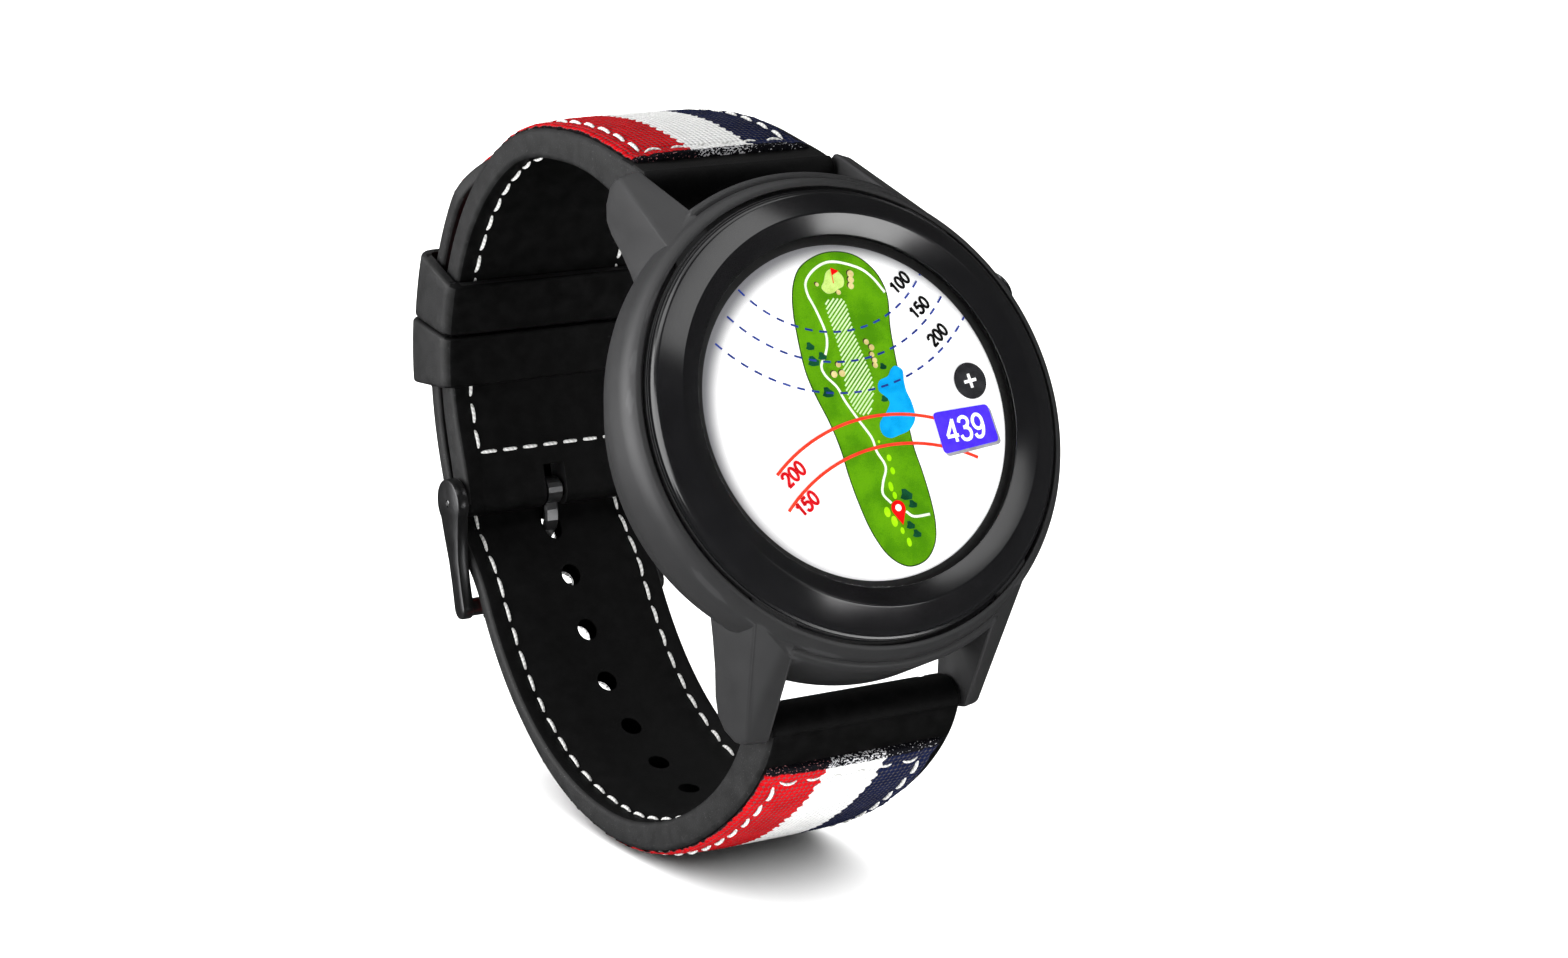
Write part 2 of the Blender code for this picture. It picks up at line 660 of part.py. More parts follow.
def build_long_strap(side, rubber, cloth, tool):
    path = long_strap_path()
    keys = [(0.0, LUG_END_INNER + LUG_END_OUTER), (5.0, 4.2), (12.0, 3.4), (36.0, 2.8), (54.0, 2.0),
            (path.length, 1.9)]
    plain = [d for d in stations(0.0, path.length) if d < path.length - 9.0]
    tip = [path.length - back for back in (9.0, 7.5, 6.0, 4.5, 3.0, 1.8, 0.9, 0.3, 0.0)]
    sections = turned_end(LOWER_BAR, -path.direction(0.0), path.outward(0.0), -LUG_END_INNER,
                          LUG_END_OUTER, LUG_END_REACH)
    for distance in plain + tip:
        width = tip_width(STRAP_HALF_WIDTH, path.length - distance)
        sections.append(band_section(
            path.at(distance), path.outward(distance), width, 0.0, blend_keys(keys, distance), 0.5))
    base = swept("strap_long", sections, rubber, side)
    cut_bar_bore(base, "lower_bore_tool", LOWER_BAR, 1.0, tool, side)

    sections = []
    for distance in [d for d in plain + tip[:-2] if d > 2.0]:
        width = tip_width(STRAP_HALF_WIDTH, path.length - distance) - 0.5
        low = blend_keys(keys, distance) + FABRIC_GAP
        sections.append(band_section(
            path.at(distance), path.outward(distance), width, low, low + FABRIC_THICKNESS, 0.0))
    fabric = swept("strap_long_fabric", sections, cloth, side)

    over_bar = BUCKLE_BAR + BUCKLE_OUT * (SHORT_END_HALF + LAYER_GAP)
    tongue_hole = path.distance_to(over_bar) - TONGUE_HOLE_BELOW_BAR
    for number in range(-HOLES_TO_LUG, HOLES_TO_TIP + 1):
        distance = tongue_hole + number * HOLE_PITCH
        along, outward = path.direction(distance), path.outward(distance)
        hole = turned(f"hole_tool_{number + HOLES_TO_LUG}", [
            (0.0, -1.5), (HOLE_RADIUS, -1.5), (HOLE_RADIUS, 5.0), (0.0, 5.0),
        ], tool, side, TINY_ROUND)
        hole.location = Vector((0.0, *path.at(distance))) * MM
        columns = Matrix(((1, 0, 0), (0, *along), (0, *outward))).transposed()
        hole.rotation_euler = columns.to_euler() if columns.determinant() > 0 else (
            Matrix(((-1, 0, 0), (0, *along), (0, *outward))).transposed().to_euler())
        stretch(hole, 1.7 if number == 0 else 1.15)
        combine(base, hole, "DIFFERENCE")
        combine(fabric, hole, "DIFFERENCE")


def stretch(obj, factor):
    """Makes a round tool oval along its local y."""
    obj.data.transform(Matrix.Diagonal((1.0, factor, 1.0, 1.0)))


def cut_bar_bore(strap, name, centre, radius, tool, side):
    reach = STRAP_HALF_WIDTH + 1.0
    bore = turned(name, [(0.0, -reach), (radius, -reach), (radius, reach), (0.0, reach)], tool, side, SMALL_ROUND)
    bore.location = Vector((0.0, *centre)) * MM
    lay_along_x(bore)
    combine(strap, bore, "DIFFERENCE")


def arc_band(name, arc, inner, outer, half_width, corner, mat, parent):
    """A block bent about the parent's local x axis, between two radii and two angles."""
    sections = []
    steps = 5
    for i in range(steps + 1):
        turn = math.radians(arc[0] + (arc[1] - arc[0]) * i / steps)
        outward = Vector((math.cos(turn), math.sin(turn)))
        sections.append(band_section(Vector((0.0, 0.0)), outward, half_width, inner, outer, corner))
    return swept(name, sections, mat, parent)


def build_keeper(name, arc, outer, side, rubber, tool):
    """A loop round both straps, with its origin at the centre of the wrap."""
    inner_room = WRAP_RADIUS - 0.25
    outer_room = WRAP_RADIUS + LONG_OFFSET + 2.0 + FABRIC_GAP + FABRIC_THICKNESS + 0.25
    keeper = arc_band(name, arc, inner_room - 1.1, outer, KEEPER_OUTER_X, 0.7, rubber, side)
    keeper.location = Vector((0.0, *WRAP_CENTRE)) * MM
    room = arc_band(f"{name}_room_tool", (arc[0] - 4.0, arc[1] + 4.0), inner_room, outer_room,
                    KEEPER_INNER_X, 0.3, tool, side)
    room.location = keeper.location
    combine(keeper, room, "DIFFERENCE")


def buckle_outline():
    """The buckle's side plate about the bar: a round head, a waist and a small round foot."""
    head, foot = 2.7, 1.25
    end = BUCKLE_END - BUCKLE_BAR
    outline = []
    for i in range(11):
        turn = math.radians(-35.0 + 250.0 * i / 10)
        outline.append(-BUCKLE_DOWN * head * math.sin(turn) + BUCKLE_OUT * head * math.cos(turn))
    waist_inner = BUCKLE_DOWN * 6.0 - BUCKLE_OUT * 1.0
    outline.append(waist_inner)
    for i in range(7):
        turn = math.radians(-15.0 + 200.0 * i / 6)
        outline.append(end + BUCKLE_DOWN * foot * math.sin(turn) - BUCKLE_OUT * foot * math.cos(turn))
    outline.append(BUCKLE_DOWN * 6.0 + BUCKLE_OUT * 1.5)
    return [tuple(point) for point in outline]


def build_buckle(bar_frame, metal, tool):
    """The frame, its origin on the bar, and the tongue that turns on the bar's tube."""
    plates = []
    for side_x in (-1, 1):
        plates.append(prism(
            "buckle_frame" if side_x < 0 else "plate_tool", buckle_outline(),
            side_x * BUCKLE_INNER_X, side_x * BUCKLE_OUTER_X, metal, bar_frame))
        bevel(plates[-1], 0.25)
    frame = plates[0]
    reach = BUCKLE_OUTER_X - 0.3
    end_bar = turned("end_bar_tool", [
        (0.0, -reach), (BUCKLE_END_RADIUS, -reach), (BUCKLE_END_RADIUS, reach), (0.0, reach),
    ], metal, bar_frame, SMALL_ROUND)
    end_bar.location = Vector((0.0, *(BUCKLE_END - BUCKLE_BAR))) * MM
    lay_along_x(end_bar)
    combine(frame, end_bar, "UNION")
    combine(frame, plates[1], "UNION")
    pin_holes = turned("pin_hole_tool", [
        (0.0, -14.0), (0.43, -14.0), (0.43, 14.0), (0.0, 14.0)], tool, bar_frame, TINY_ROUND)
    lay_along_x(pin_holes)
    combine(frame, pin_holes, "DIFFERENCE")

    ring = turned("buckle_tongue", [
        (0.83, -TONGUE_WIDTH / 2), (1.5, -TONGUE_WIDTH / 2), (1.5, TONGUE_WIDTH / 2),
        (0.83, TONGUE_WIDTH / 2),
    ], metal, bar_frame, SMALL_ROUND)
    lay_along_x(ring)
    bend, crest, tip = Vector((4.6, 1.55)), Vector((7.3, 4.1)), Vector((13.2, 1.6))
    arm_line = bezier(Vector((1.15, 0.35)), Vector((1.0, -0.1)), bend, Vector((0.51, 0.86)), 0.5, 0.4)
    arm_line += bezier(bend, Vector((0.51, 0.86)), crest, Vector((1.0, 0.0)))
    arm_line += bezier(crest, Vector((1.0, 0.0)), tip, Vector((0.98, -0.2)))
    arm_path = Path(arm_line, -1.0)
    sections = []
    for distance in stations(0.0, arm_path.length, 1.1):
        along, out = arm_path.at(distance)
        lift = arm_path.outward(distance)
        centre = BUCKLE_DOWN * along + BUCKLE_OUT * out
        normal = BUCKLE_DOWN * lift.x + BUCKLE_OUT * lift.y
        half = TONGUE_THICKNESS / 2
        sections.append(band_section(centre, normal, TONGUE_WIDTH / 2, -half, half, 0.2))
    arm = swept("tongue_arm_tool", sections, metal, bar_frame)
    combine(ring, arm, "UNION")


# The watch ---------------------------------------------------------------------------------


def build_watch():
    clear_scene()
    black = material("satin_black_case", (0.022, 0.022, 0.024), 0.42, 0.4)
    gloss = material("gloss_black_bezel", (0.012, 0.012, 0.013), 0.16, 0.5)
    glass = material("cover_glass_clear", (0.9, 0.92, 0.93), 0.03)
    dark = material("black_moulding", (0.01, 0.01, 0.01), 0.6)
    screen = material("display_white", (0.86, 0.87, 0.86), 0.35)
    steel = material("stainless_steel", (0.55, 0.55, 0.56), 0.3, 1.0)
    silver = material("battery_foil", (0.6, 0.6, 0.62), 0.4, 0.8)
    ceramic = material("antenna_ceramic", (0.72, 0.66, 0.56), 0.5)
    board = material("circuit_board", (0.02, 0.13, 0.06), 0.45)
    brass = material("gold_contact", (0.85, 0.6, 0.25), 0.25, 1.0)
    rubber = material("strap_rubber", (0.018, 0.018, 0.019), 0.62)
    cloth = material("strap_canvas", (0.7, 0.05, 0.06), 0.8)
    buckle_metal = material("black_buckle", (0.03, 0.03, 0.032), 0.33, 0.8)
    tool = material("cutting_tool", (0.5, 0.5, 0.5), 0.5)

    case = frame_at("case_frame", DIAL_CENTRE, (math.radians(90.0 - LEAN_BACK), 0.0, 0.0))
    side = frame_at("strap_frame", DIAL_CENTRE)
    spoke = spoke_frame("button_frame", case, BUTTON_ANGLE, BUTTON_H)

    build_case(case, spoke, black, tool)
    build_front(case, gloss, glass, dark, screen, steel)
    build_electronics(case, spoke, board, steel, silver, ceramic, dark, brass)
    build_button(spoke, steel, rubber, steel)
    build_back(case, black, rubber, steel, brass)
    for prefix, end in (("upper_bar", 1), ("lower_bar", -1)):
        bar = frame_at(f"{prefix}_frame", (0.0, end * BAR_V, BAR_H), parent=case)
        build_spring_bar(prefix, bar, 0.9, 0.52, 8.7, 0.44, (6.9, 10.1, 12.5), steel)

    build_short_strap(side, rubber, cloth, tool)
    build_long_strap(side, rubber, cloth, tool)
    build_keeper("keeper_fixed", FIXED_KEEPER_ARC, 35.1, side, rubber, tool)
    build_keeper("keeper_free", FREE_KEEPER_ARC, 34.6, side, rubber, tool)
    bar = frame_at("buckle_bar_frame", (0.0, *BUCKLE_BAR), parent=side)
    build_buckle(bar, buckle_metal, tool)
    build_spring_bar("buckle_bar", bar, 0.75, 0.46, 9.4, 0.36, (7.9, 10.85, BUCKLE_OUTER_X), steel)


build_watch()
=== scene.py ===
"""The looks of the golf GPS watch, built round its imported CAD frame.

Lengths here are millimetres until a mesh is made. Two frames are used, both from the middle of
the dial: CASE has x to 3 o'clock, y to 12 o'clock and z out of the glass, and SIDE has world
directions, with the strap drawn in its side view (y, z) and its width along x.
"""

import math
from functools import partialmethod

import bmesh
import bpy
import numpy as np
from mathutils import Matrix, Vector
from mathutils.geometry import interpolate_bezier


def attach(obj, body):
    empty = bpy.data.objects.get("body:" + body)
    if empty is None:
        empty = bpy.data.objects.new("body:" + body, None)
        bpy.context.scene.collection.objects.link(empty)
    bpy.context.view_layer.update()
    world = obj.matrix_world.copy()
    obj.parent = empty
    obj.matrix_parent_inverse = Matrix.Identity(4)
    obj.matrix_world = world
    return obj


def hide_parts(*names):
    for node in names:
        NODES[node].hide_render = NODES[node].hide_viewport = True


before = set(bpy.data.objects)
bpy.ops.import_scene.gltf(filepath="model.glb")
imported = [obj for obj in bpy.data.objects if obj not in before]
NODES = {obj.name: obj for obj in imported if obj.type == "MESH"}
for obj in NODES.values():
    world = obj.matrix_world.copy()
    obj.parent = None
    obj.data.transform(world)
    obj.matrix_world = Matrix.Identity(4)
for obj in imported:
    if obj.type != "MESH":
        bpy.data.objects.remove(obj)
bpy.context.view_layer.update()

MM = 0.001
DIAL = Vector((0.0, -32.156, 50.776)) * MM  # the middle of the dial, as part.py places it
LEAN = 25.2  # degrees that the dial leans back
CASE = Matrix.Translation(DIAL) @ Matrix.Rotation(math.radians(90.0 - LEAN), 4, "X") @ Matrix.Scale(MM, 4)
SIDE = Matrix.Translation(DIAL) @ Matrix.Scale(MM, 4)
RNG = np.random.default_rng(7)


# Node helpers ------------------------------------------------------------------------------


class Value:
    """A shader value with arithmetic, so that a formula makes its own Math nodes."""

    def __init__(self, tree, socket):
        self.tree, self.socket = tree, socket

    def math(self, operation, *others):
        node = self.tree.nodes.new("ShaderNodeMath")
        node.operation = operation
        for slot, value in zip(node.inputs, (self, *others)):
            feed(self.tree, slot, value)
        return Value(self.tree, node.outputs[0])

    __add__ = partialmethod(math, "ADD")
    __sub__ = partialmethod(math, "SUBTRACT")
    __mul__ = partialmethod(math, "MULTIPLY")
    __truediv__ = partialmethod(math, "DIVIDE")
    cos = partialmethod(math, "COSINE")
    sin = partialmethod(math, "SINE")
    abs = partialmethod(math, "ABSOLUTE")
    sqrt = partialmethod(math, "SQRT")
    frac = partialmethod(math, "FRACT")
    floor = partialmethod(math, "FLOOR")
    max = partialmethod(math, "MAXIMUM")
    min = partialmethod(math, "MINIMUM")
    above = partialmethod(math, "GREATER_THAN")

    def ramp(self, low, high, to_low=0.0, to_high=1.0):
        """An eased step between two values."""
        node = self.tree.nodes.new("ShaderNodeMapRange")
        node.interpolation_type = "SMOOTHSTEP"
        for slot, value in zip(node.inputs, (self, low, high, to_low, to_high)):
            feed(self.tree, slot, value)
        return Value(self.tree, node.outputs[0])


def feed(tree, slot, value):
    """Gives a socket a Value, another node's output, a colour or a number."""
    if isinstance(value, Value):
        value = value.socket
    if isinstance(value, bpy.types.NodeSocket):
        tree.links.new(value, slot)
    elif isinstance(value, tuple):
        slot.default_value = (*value, 1.0)[:4]
    else:
        slot.default_value = value


class Look:
    """A procedural material: a Principled shader and the textures that drive it."""

    def __init__(self, name, roughness=0.5, metallic=0.0):
        self.material = bpy.data.materials.new(name)
        self.material.use_nodes = True
        self.tree = self.material.node_tree
        self.shader = self.tree.nodes["Principled BSDF"]
        self.set("Roughness", roughness)
        self.set("Metallic", metallic)

    def set(self, name, value):
        feed(self.tree, self.shader.inputs[name], value)

    def uv(self):
        """The two coordinates that the mesh carries in its UV map, in millimetres."""
        node = self.tree.nodes.new("ShaderNodeUVMap")
        node.uv_map = "mm"
        split = self.tree.nodes.new("ShaderNodeSeparateXYZ")
        self.tree.links.new(node.outputs[0], split.inputs[0])
        return Value(self.tree, split.outputs[0]), Value(self.tree, split.outputs[1])

    def texture(self, kind, size, stretch=(1.0, 1.0, 1.0), offset=0.0):
        """A texture node on the object's coordinates, with features about size millimetres across."""
        place = self.tree.nodes.new("ShaderNodeTexCoord").outputs["Object"]
        mapping = self.tree.nodes.new("ShaderNodeMapping")
        mapping.inputs["Scale"].default_value = [1.0 / (size * MM * s) for s in stretch]
        mapping.inputs["Location"].default_value = (offset, offset, offset)
        self.tree.links.new(place, mapping.inputs["Vector"])
        node = self.tree.nodes.new(kind)
        node.inputs["Scale"].default_value = 1.0
        self.tree.links.new(mapping.outputs[0], node.inputs["Vector"])
        return node

    def noise(self, size, detail=3.0, **place):
        node = self.texture("ShaderNodeTexNoise", size, **place)
        node.inputs["Detail"].default_value = detail
        return Value(self.tree, node.outputs[0])

    def cells(self, size):
        return Value(self.tree, self.texture("ShaderNodeTexVoronoi", size).outputs[0])

    def pointiness(self):
        return Value(self.tree, self.tree.nodes.new("ShaderNodeNewGeometry").outputs["Pointiness"])

    def mix(self, factor, a, b):
        """The colour between a and b at a factor."""
        node = self.tree.nodes.new("ShaderNodeMix")
        node.data_type = "RGBA"
        for index, value in ((0, factor), (6, a), (7, b)):
            feed(self.tree, node.inputs[index], value)
        return node.outputs[2]

    def bump(self, height, depth, strength=1.0):
        """Bump whose full height is depth millimetres. It completes the material."""
        node = self.tree.nodes.new("ShaderNodeBump")
        node.inputs["Strength"].default_value = strength
        node.inputs["Distance"].default_value = depth * MM
        feed(self.tree, node.inputs["Height"], height)
        feed(self.tree, self.shader.inputs["Normal"], node.outputs[0])
        return self.material


# Materials ---------------------------------------------------------------------------------


def satin_metal(name, dark, light, roughness, metallic, grain=0.012):
    look = Look(name, roughness, metallic)
    cloud = look.noise(2.4, 4.0)
    fine = look.noise(0.09, 2.0)
    edge = look.pointiness().ramp(0.52, 0.60)
    worn = (edge * 0.5 + cloud * 0.25).min(1.0)
    look.set("Base Color", look.mix(worn, dark, light))
    look.set("Roughness", cloud * 0.10 + fine * 0.08 + (roughness - 0.09))
    return look.bump(fine, grain, 0.5)


def gloss_black():
    look = Look("gloss_black_bezel", 0.12, 0.0)
    cloud = look.noise(3.0, 3.0)
    fine = look.noise(0.25, 2.0)
    look.set("Base Color", look.mix(cloud, (0.004, 0.004, 0.0045), (0.009, 0.009, 0.010)))
    look.set("Roughness", cloud * 0.06 + fine * 0.03 + 0.14)
    look.set("Specular IOR Level", 0.42)
    return look.bump(fine, 0.0015, 0.4)


def rubber(name, dark, light, roughness, speck=0.0, specular=0.25):
    look = Look(name, roughness)
    cloud = look.noise(1.6, 4.0)
    pores = look.cells(0.16)
    fine = look.noise(0.07, 3.0)
    shade = (cloud * 0.6 + fine * 0.4).ramp(0.35, 0.68)
    colour = look.mix(shade, dark, light)
    if speck:
        flecks = look.noise(0.13, 1.0, offset=3.0).ramp(0.70, 0.78, 0.0, speck)
        colour = look.mix(flecks, colour, (0.16, 0.16, 0.16))
    look.set("Base Color", colour)
    look.set("Roughness", cloud * 0.14 + (roughness - 0.07))
    look.set("Specular IOR Level", specular)
    return look.bump(pores * 0.6 + fine * 0.5, 0.035, 0.6)


THREAD_PITCH = 0.55
RIBBON_LEFT, RIBBON_RIGHT = -10.5, 9.9
RED_TO_WHITE, WHITE_TO_NAVY = -3.6, 3.2
STITCH_LEFT, STITCH_RIGHT = -8.7, 8.1


def weave_height(across, along):
    """A plain weave: each thread is round, and passes over and under its neighbours."""
    u, v = across / THREAD_PITCH, along / THREAD_PITCH
    fu, fv = u.frac() - 0.5, v.frac() - 0.5
    side = ((u.floor() + v.floor()) * 0.5).frac().above(0.25) * 2.0 - 1.0
    warp = (fu * fu * -3.6 + 1.0).max(0.0).sqrt() + side * (fv * math.pi).cos() * 0.55
    weft = (fv * fv * -3.6 + 1.0).max(0.0).sqrt() - side * (fu * math.pi).cos() * 0.55
    return warp.max(weft)


def canvas():
    """The striped ribbon: red, white and navy yarn with a scalloped change of colour."""
    look = Look("striped_canvas", 0.9)
    across, along = look.uv()
    height = weave_height(across, along)
    yarn = look.noise(0.11, 3.0)
    cloud = look.noise(2.5, 3.0)
    wander = look.noise(0.9, 2.0, offset=9.0) * 0.5
    scallop = (along * (math.pi / 1.25)).sin().abs() * 0.42 + wander
    is_red = (across + scallop - (RED_TO_WHITE + 0.45)).ramp(0.05, -0.05)
    is_navy = (across - scallop - (WHITE_TO_NAVY - 0.45)).ramp(-0.05, 0.05)
    tone = (yarn * 0.6 + cloud * 0.4).ramp(0.3, 0.7)
    red = look.mix(tone, (0.36, 0.002, 0.005), (0.68, 0.007, 0.012))
    white = look.mix(tone, (0.80, 0.80, 0.79), (0.95, 0.95, 0.94))
    navy = look.mix(tone, (0.003, 0.005, 0.022), (0.010, 0.016, 0.058))
    colour = look.mix(is_navy, look.mix(is_red, white, red), navy)
    # Painted shade: in the gaps between threads the colour falls to grey on white yarn and to near black on red
    # and navy, where shade falls.
    painted_gap_shade = height.ramp(1.22, 0.62)
    shade = look.mix(is_red.max(is_navy) * 0.85, (0.55, 0.55, 0.56), (0.010, 0.002, 0.006))
    colour = look.mix(painted_gap_shade * 0.9, colour, shade)
    specks = look.noise(0.24, 2.0, offset=5.0)
    pale = (specks - is_red.max(is_navy) * 0.11).ramp(0.52, 0.57)
    selvedge = look.mix(pale, (0.006, 0.006, 0.008), look.mix(is_red * 0.6, (0.62, 0.62, 0.64), red))
    at_hem = (along + wander * 0.9).ramp(1.05, 0.85)
    colour = look.mix(at_hem, colour, selvedge)
    at_edge = (across + wander * 0.3).ramp(RIBBON_LEFT + 0.20, RIBBON_LEFT + 0.08)
    colour = look.mix(at_edge, colour, (0.010, 0.008, 0.009))
    look.set("Base Color", colour)
    look.set("Specular IOR Level", 0.02)
    return look.bump(height + yarn * 0.35, 0.20, 0.9)


def thread():
    look = Look("stitch_thread", 0.7)
    across, along = look.uv()
    twist = ((along * 1.9 + across * 1.0) * (2.0 * math.pi)).sin()
    fuzz = look.noise(0.08, 3.0)
    tone = (twist * 0.25 + fuzz).ramp(0.2, 0.75)
    look.set("Base Color", look.mix(tone, (0.62, 0.62, 0.60), (0.92, 0.92, 0.90)))
    return look.bump(twist * 0.5 + fuzz, 0.07, 0.7)


def brushed_steel(name, tone=0.55, rough=0.28):
    look = Look(name, rough, 1.0)
    lines = look.noise(0.05, 2.0, stretch=(30.0, 1.0, 1.0))
    cloud = look.noise(1.5, 3.0)
    look.set("Base Color", look.mix(lines * 0.5 + cloud * 0.5, (tone * 0.75,) * 3, (tone * 1.15,) * 3))
    look.set("Roughness", lines * 0.15 + (rough - 0.05))
    return look.bump(lines, 0.006, 0.4)


def mottled(name, dark, light, roughness=0.5, metallic=0.0, size=1.2, bump=0.02):
    look = Look(name, roughness, metallic)
    cloud = look.noise(size, 4.0)
    fine = look.noise(size * 0.08, 2.0)
    look.set("Base Color", look.mix((cloud * 0.7 + fine * 0.3).ramp(0.3, 0.7), dark, light))
    look.set("Roughness", fine * 0.12 + (roughness - 0.06))
    return look.bump(fine, bump, 0.5)


def clear_glass():
    """Clear glass: nearly all passes through, with the outer surface's reflection on top."""
    look = Look("cover_glass_clear", 0.02)
    tree = look.tree
    through = tree.nodes.new("ShaderNodeBsdfTransparent")
    gloss = tree.nodes.new("ShaderNodeBsdfGlossy")
    smudge = look.noise(6.0, 3.0)
    feed(tree, gloss.inputs["Roughness"], smudge * 0.03 + 0.01)
    fresnel = tree.nodes.new("ShaderNodeFresnel")
    fresnel.inputs["IOR"].default_value = 1.25
    blend = tree.nodes.new("ShaderNodeMixShader")
    inside = Value(tree, tree.nodes.new("ShaderNodeNewGeometry").outputs["Backfacing"])
    feed(tree, blend.inputs[0], Value(tree, fresnel.outputs[0]) * (inside * -1.0 + 1.0))
    feed(tree, blend.inputs[1], through.outputs[0])
    feed(tree, blend.inputs[2], gloss.outputs[0])
    feed(tree, tree.nodes["Material Output"].inputs["Surface"], blend.outputs[0])
    return look.material


GLOW = 0.36  # the display's own light


def lit(look, colour):
    """Makes a colour of the display shine a little of its own light."""
    look.set("Base Color", colour)
    look.set("Emission Color", colour)
    look.set("Emission Strength", GLOW)
    look.set("Specular IOR Level", 0.05)
    return look.material


def ink(name, dark, light, size=1.3):
    """A colour on the display, with the faint unevenness of its pixels."""
    look = Look(name, 0.45)
    pixels = look.noise(0.10, 1.0)
    cloud = look.noise(size, 3.0)
    return lit(look, look.mix((cloud * 0.7 + pixels * 0.3).ramp(0.35, 0.65), dark, light))


def dial_white():
    """The display's white ground, which falls to grey under the bezel's shade at the rim."""
    look = Look("dial_white", 0.4)
    x, y = look.uv()
    x, y = x - 0.8, y + 0.8
    radius = (x * x + y * y).sqrt()
    pixels = look.noise(0.10, 1.0)
    shade = radius.ramp(15.3, 17.5)
    colour = look.mix(shade, (0.96, 0.96, 0.96), (0.16, 0.16, 0.17))
    return lit(look, look.mix(pixels * 0.04, colour, (0.75, 0.76, 0.78)))


BLACK = satin_metal("satin_black_case", (0.026, 0.026, 0.027), (0.055, 0.055, 0.057), 0.50, 0.30)
BEZEL = gloss_black()
GLASS = clear_glass()
MASK = mottled("black_moulding", (0.004, 0.004, 0.004), (0.009, 0.009, 0.009), 0.5)
STRAP_SKIN = rubber("strap_rubber", (0.008, 0.008, 0.0083), (0.017, 0.017, 0.0175), 0.58, 0.5)
KEEPER_SKIN = rubber("keeper_rubber", (0.008, 0.008, 0.0083), (0.016, 0.016, 0.0165), 0.52, 0.3)
# A darker copy of the strap rubber: painted shade for the faces that get less light than the side walls.
SHADED_RUBBER = rubber("strap_rubber_painted_shade", (0.0022, 0.0022, 0.0023), (0.0050, 0.0050, 0.0052), 0.6, specular=0.12)
SEAL = rubber("seal_rubber", (0.006, 0.006, 0.006), (0.012, 0.012, 0.012), 0.6)
CANVAS = canvas()
THREAD = thread()
BUCKLE = satin_metal("black_buckle", (0.020, 0.020, 0.021), (0.10, 0.10, 0.102), 0.30, 0.8, 0.006)
BUTTON = satin_metal("dark_chrome_button", (0.10, 0.10, 0.105), (0.30, 0.30, 0.31), 0.20, 1.0, 0.004)
STEEL = brushed_steel("stainless_steel")
GOLD = mottled("gold_contact", (0.62, 0.40, 0.13), (0.85, 0.62, 0.25), 0.25, 1.0, 0.5, 0.004)
BOARD = mottled("circuit_board", (0.008, 0.07, 0.03), (0.02, 0.14, 0.06), 0.42, 0.0, 0.8)
FOIL = mottled("battery_foil", (0.45, 0.45, 0.47), (0.65, 0.65, 0.67), 0.38, 0.8, 2.0, 0.05)
CERAMIC = mottled("antenna_ceramic", (0.60, 0.54, 0.45), (0.76, 0.70, 0.60), 0.55)


# Mesh helpers ------------------------------------------------------------------------------


def piece(name, vertices, faces, place, material, body="watch", slot=None, replaces=(), sharp=32.0,
          uvs=None, outward=True):
    """A mesh in a frame, made into a finished piece that rides on a body."""
    mesh = bpy.data.meshes.new(name)
    points = np.asarray(vertices, float)
    points = points @ np.array(place.to_3x3()).T + np.array(place.translation)
    mesh.from_pydata(points.tolist(), [], [list(f) for f in faces])
    if uvs is not None:
        layer = mesh.uv_layers.new(name="mm")
        corners = np.empty(len(mesh.loops), np.int32)
        mesh.loops.foreach_get("vertex_index", corners)
        layer.data.foreach_set("uv", np.asarray(uvs, np.float32)[corners].ravel())
    if outward:
        bm = bmesh.new()
        bm.from_mesh(mesh)
        bmesh.ops.recalc_face_normals(bm, faces=bm.faces)
        bm.to_mesh(mesh)
        bm.free()
    mesh.shade_smooth()
    if sharp:
        mesh.set_sharp_from_angle(angle=math.radians(sharp))
    mesh.materials.append(material)
    obj = bpy.data.objects.new(name, mesh)
    bpy.context.scene.collection.objects.link(obj)
    if body:
        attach(obj, body)
        if replaces:
            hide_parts(*replaces)
    return obj


def filleted(profile, steps=4):
    """A profile of (r, z) or (r, z, radius) corners, with each given corner rounded."""
    corners = [(Vector(p[:2]), p[2] if len(p) > 2 else 0.0) for p in profile]
    rounded = []
    for index, (corner, radius) in enumerate(corners):
        before = corners[index - 1][0] - corner
        after = corners[(index + 1) % len(corners)][0] - corner
        if not radius:
            rounded.append(tuple(corner))
            continue
        start = corner + before.normalized() * min(radius, 0.48 * before.length)
        end = corner + after.normalized() * min(radius, 0.48 * after.length)
        for step in range(steps + 1):
            t = step / steps
            rounded.append(tuple(start * (1 - t) ** 2 + corner * 2 * t * (1 - t) + end * t * t))
    return rounded


def lathe(profile, segments):
    """Vertices and faces of a profile turned about z. On the axis it closes to one point."""
    vertices, rings = [], []
    for radius, height in profile:
        if radius < 1e-6:
            rings.append([len(vertices)] * segments)
            vertices.append((0.0, 0.0, height))
            continue
        rings.append(range(len(vertices), len(vertices) + segments))
        for i in range(segments):
            turn = 2.0 * math.pi * i / segments
            vertices.append((radius * math.cos(turn), radius * math.sin(turn), height))
    pairs = list(zip(rings, rings[1:] + rings[:1]))
    if profile[0][0] < 1e-6:
        pairs = pairs[:-1]
    faces = []
    for ring, following in pairs:
        for i in range(segments):
            j = (i + 1) % segments
            faces.append(list(dict.fromkeys((ring[i], ring[j], following[j], following[i]))))
    return vertices, faces


def turned(name, profile, place, material, segments=160, steps=4, **facts):
    vertices, faces = lathe(filleted(profile, steps), segments)
    return piece(name, vertices, faces, place, material, **facts)


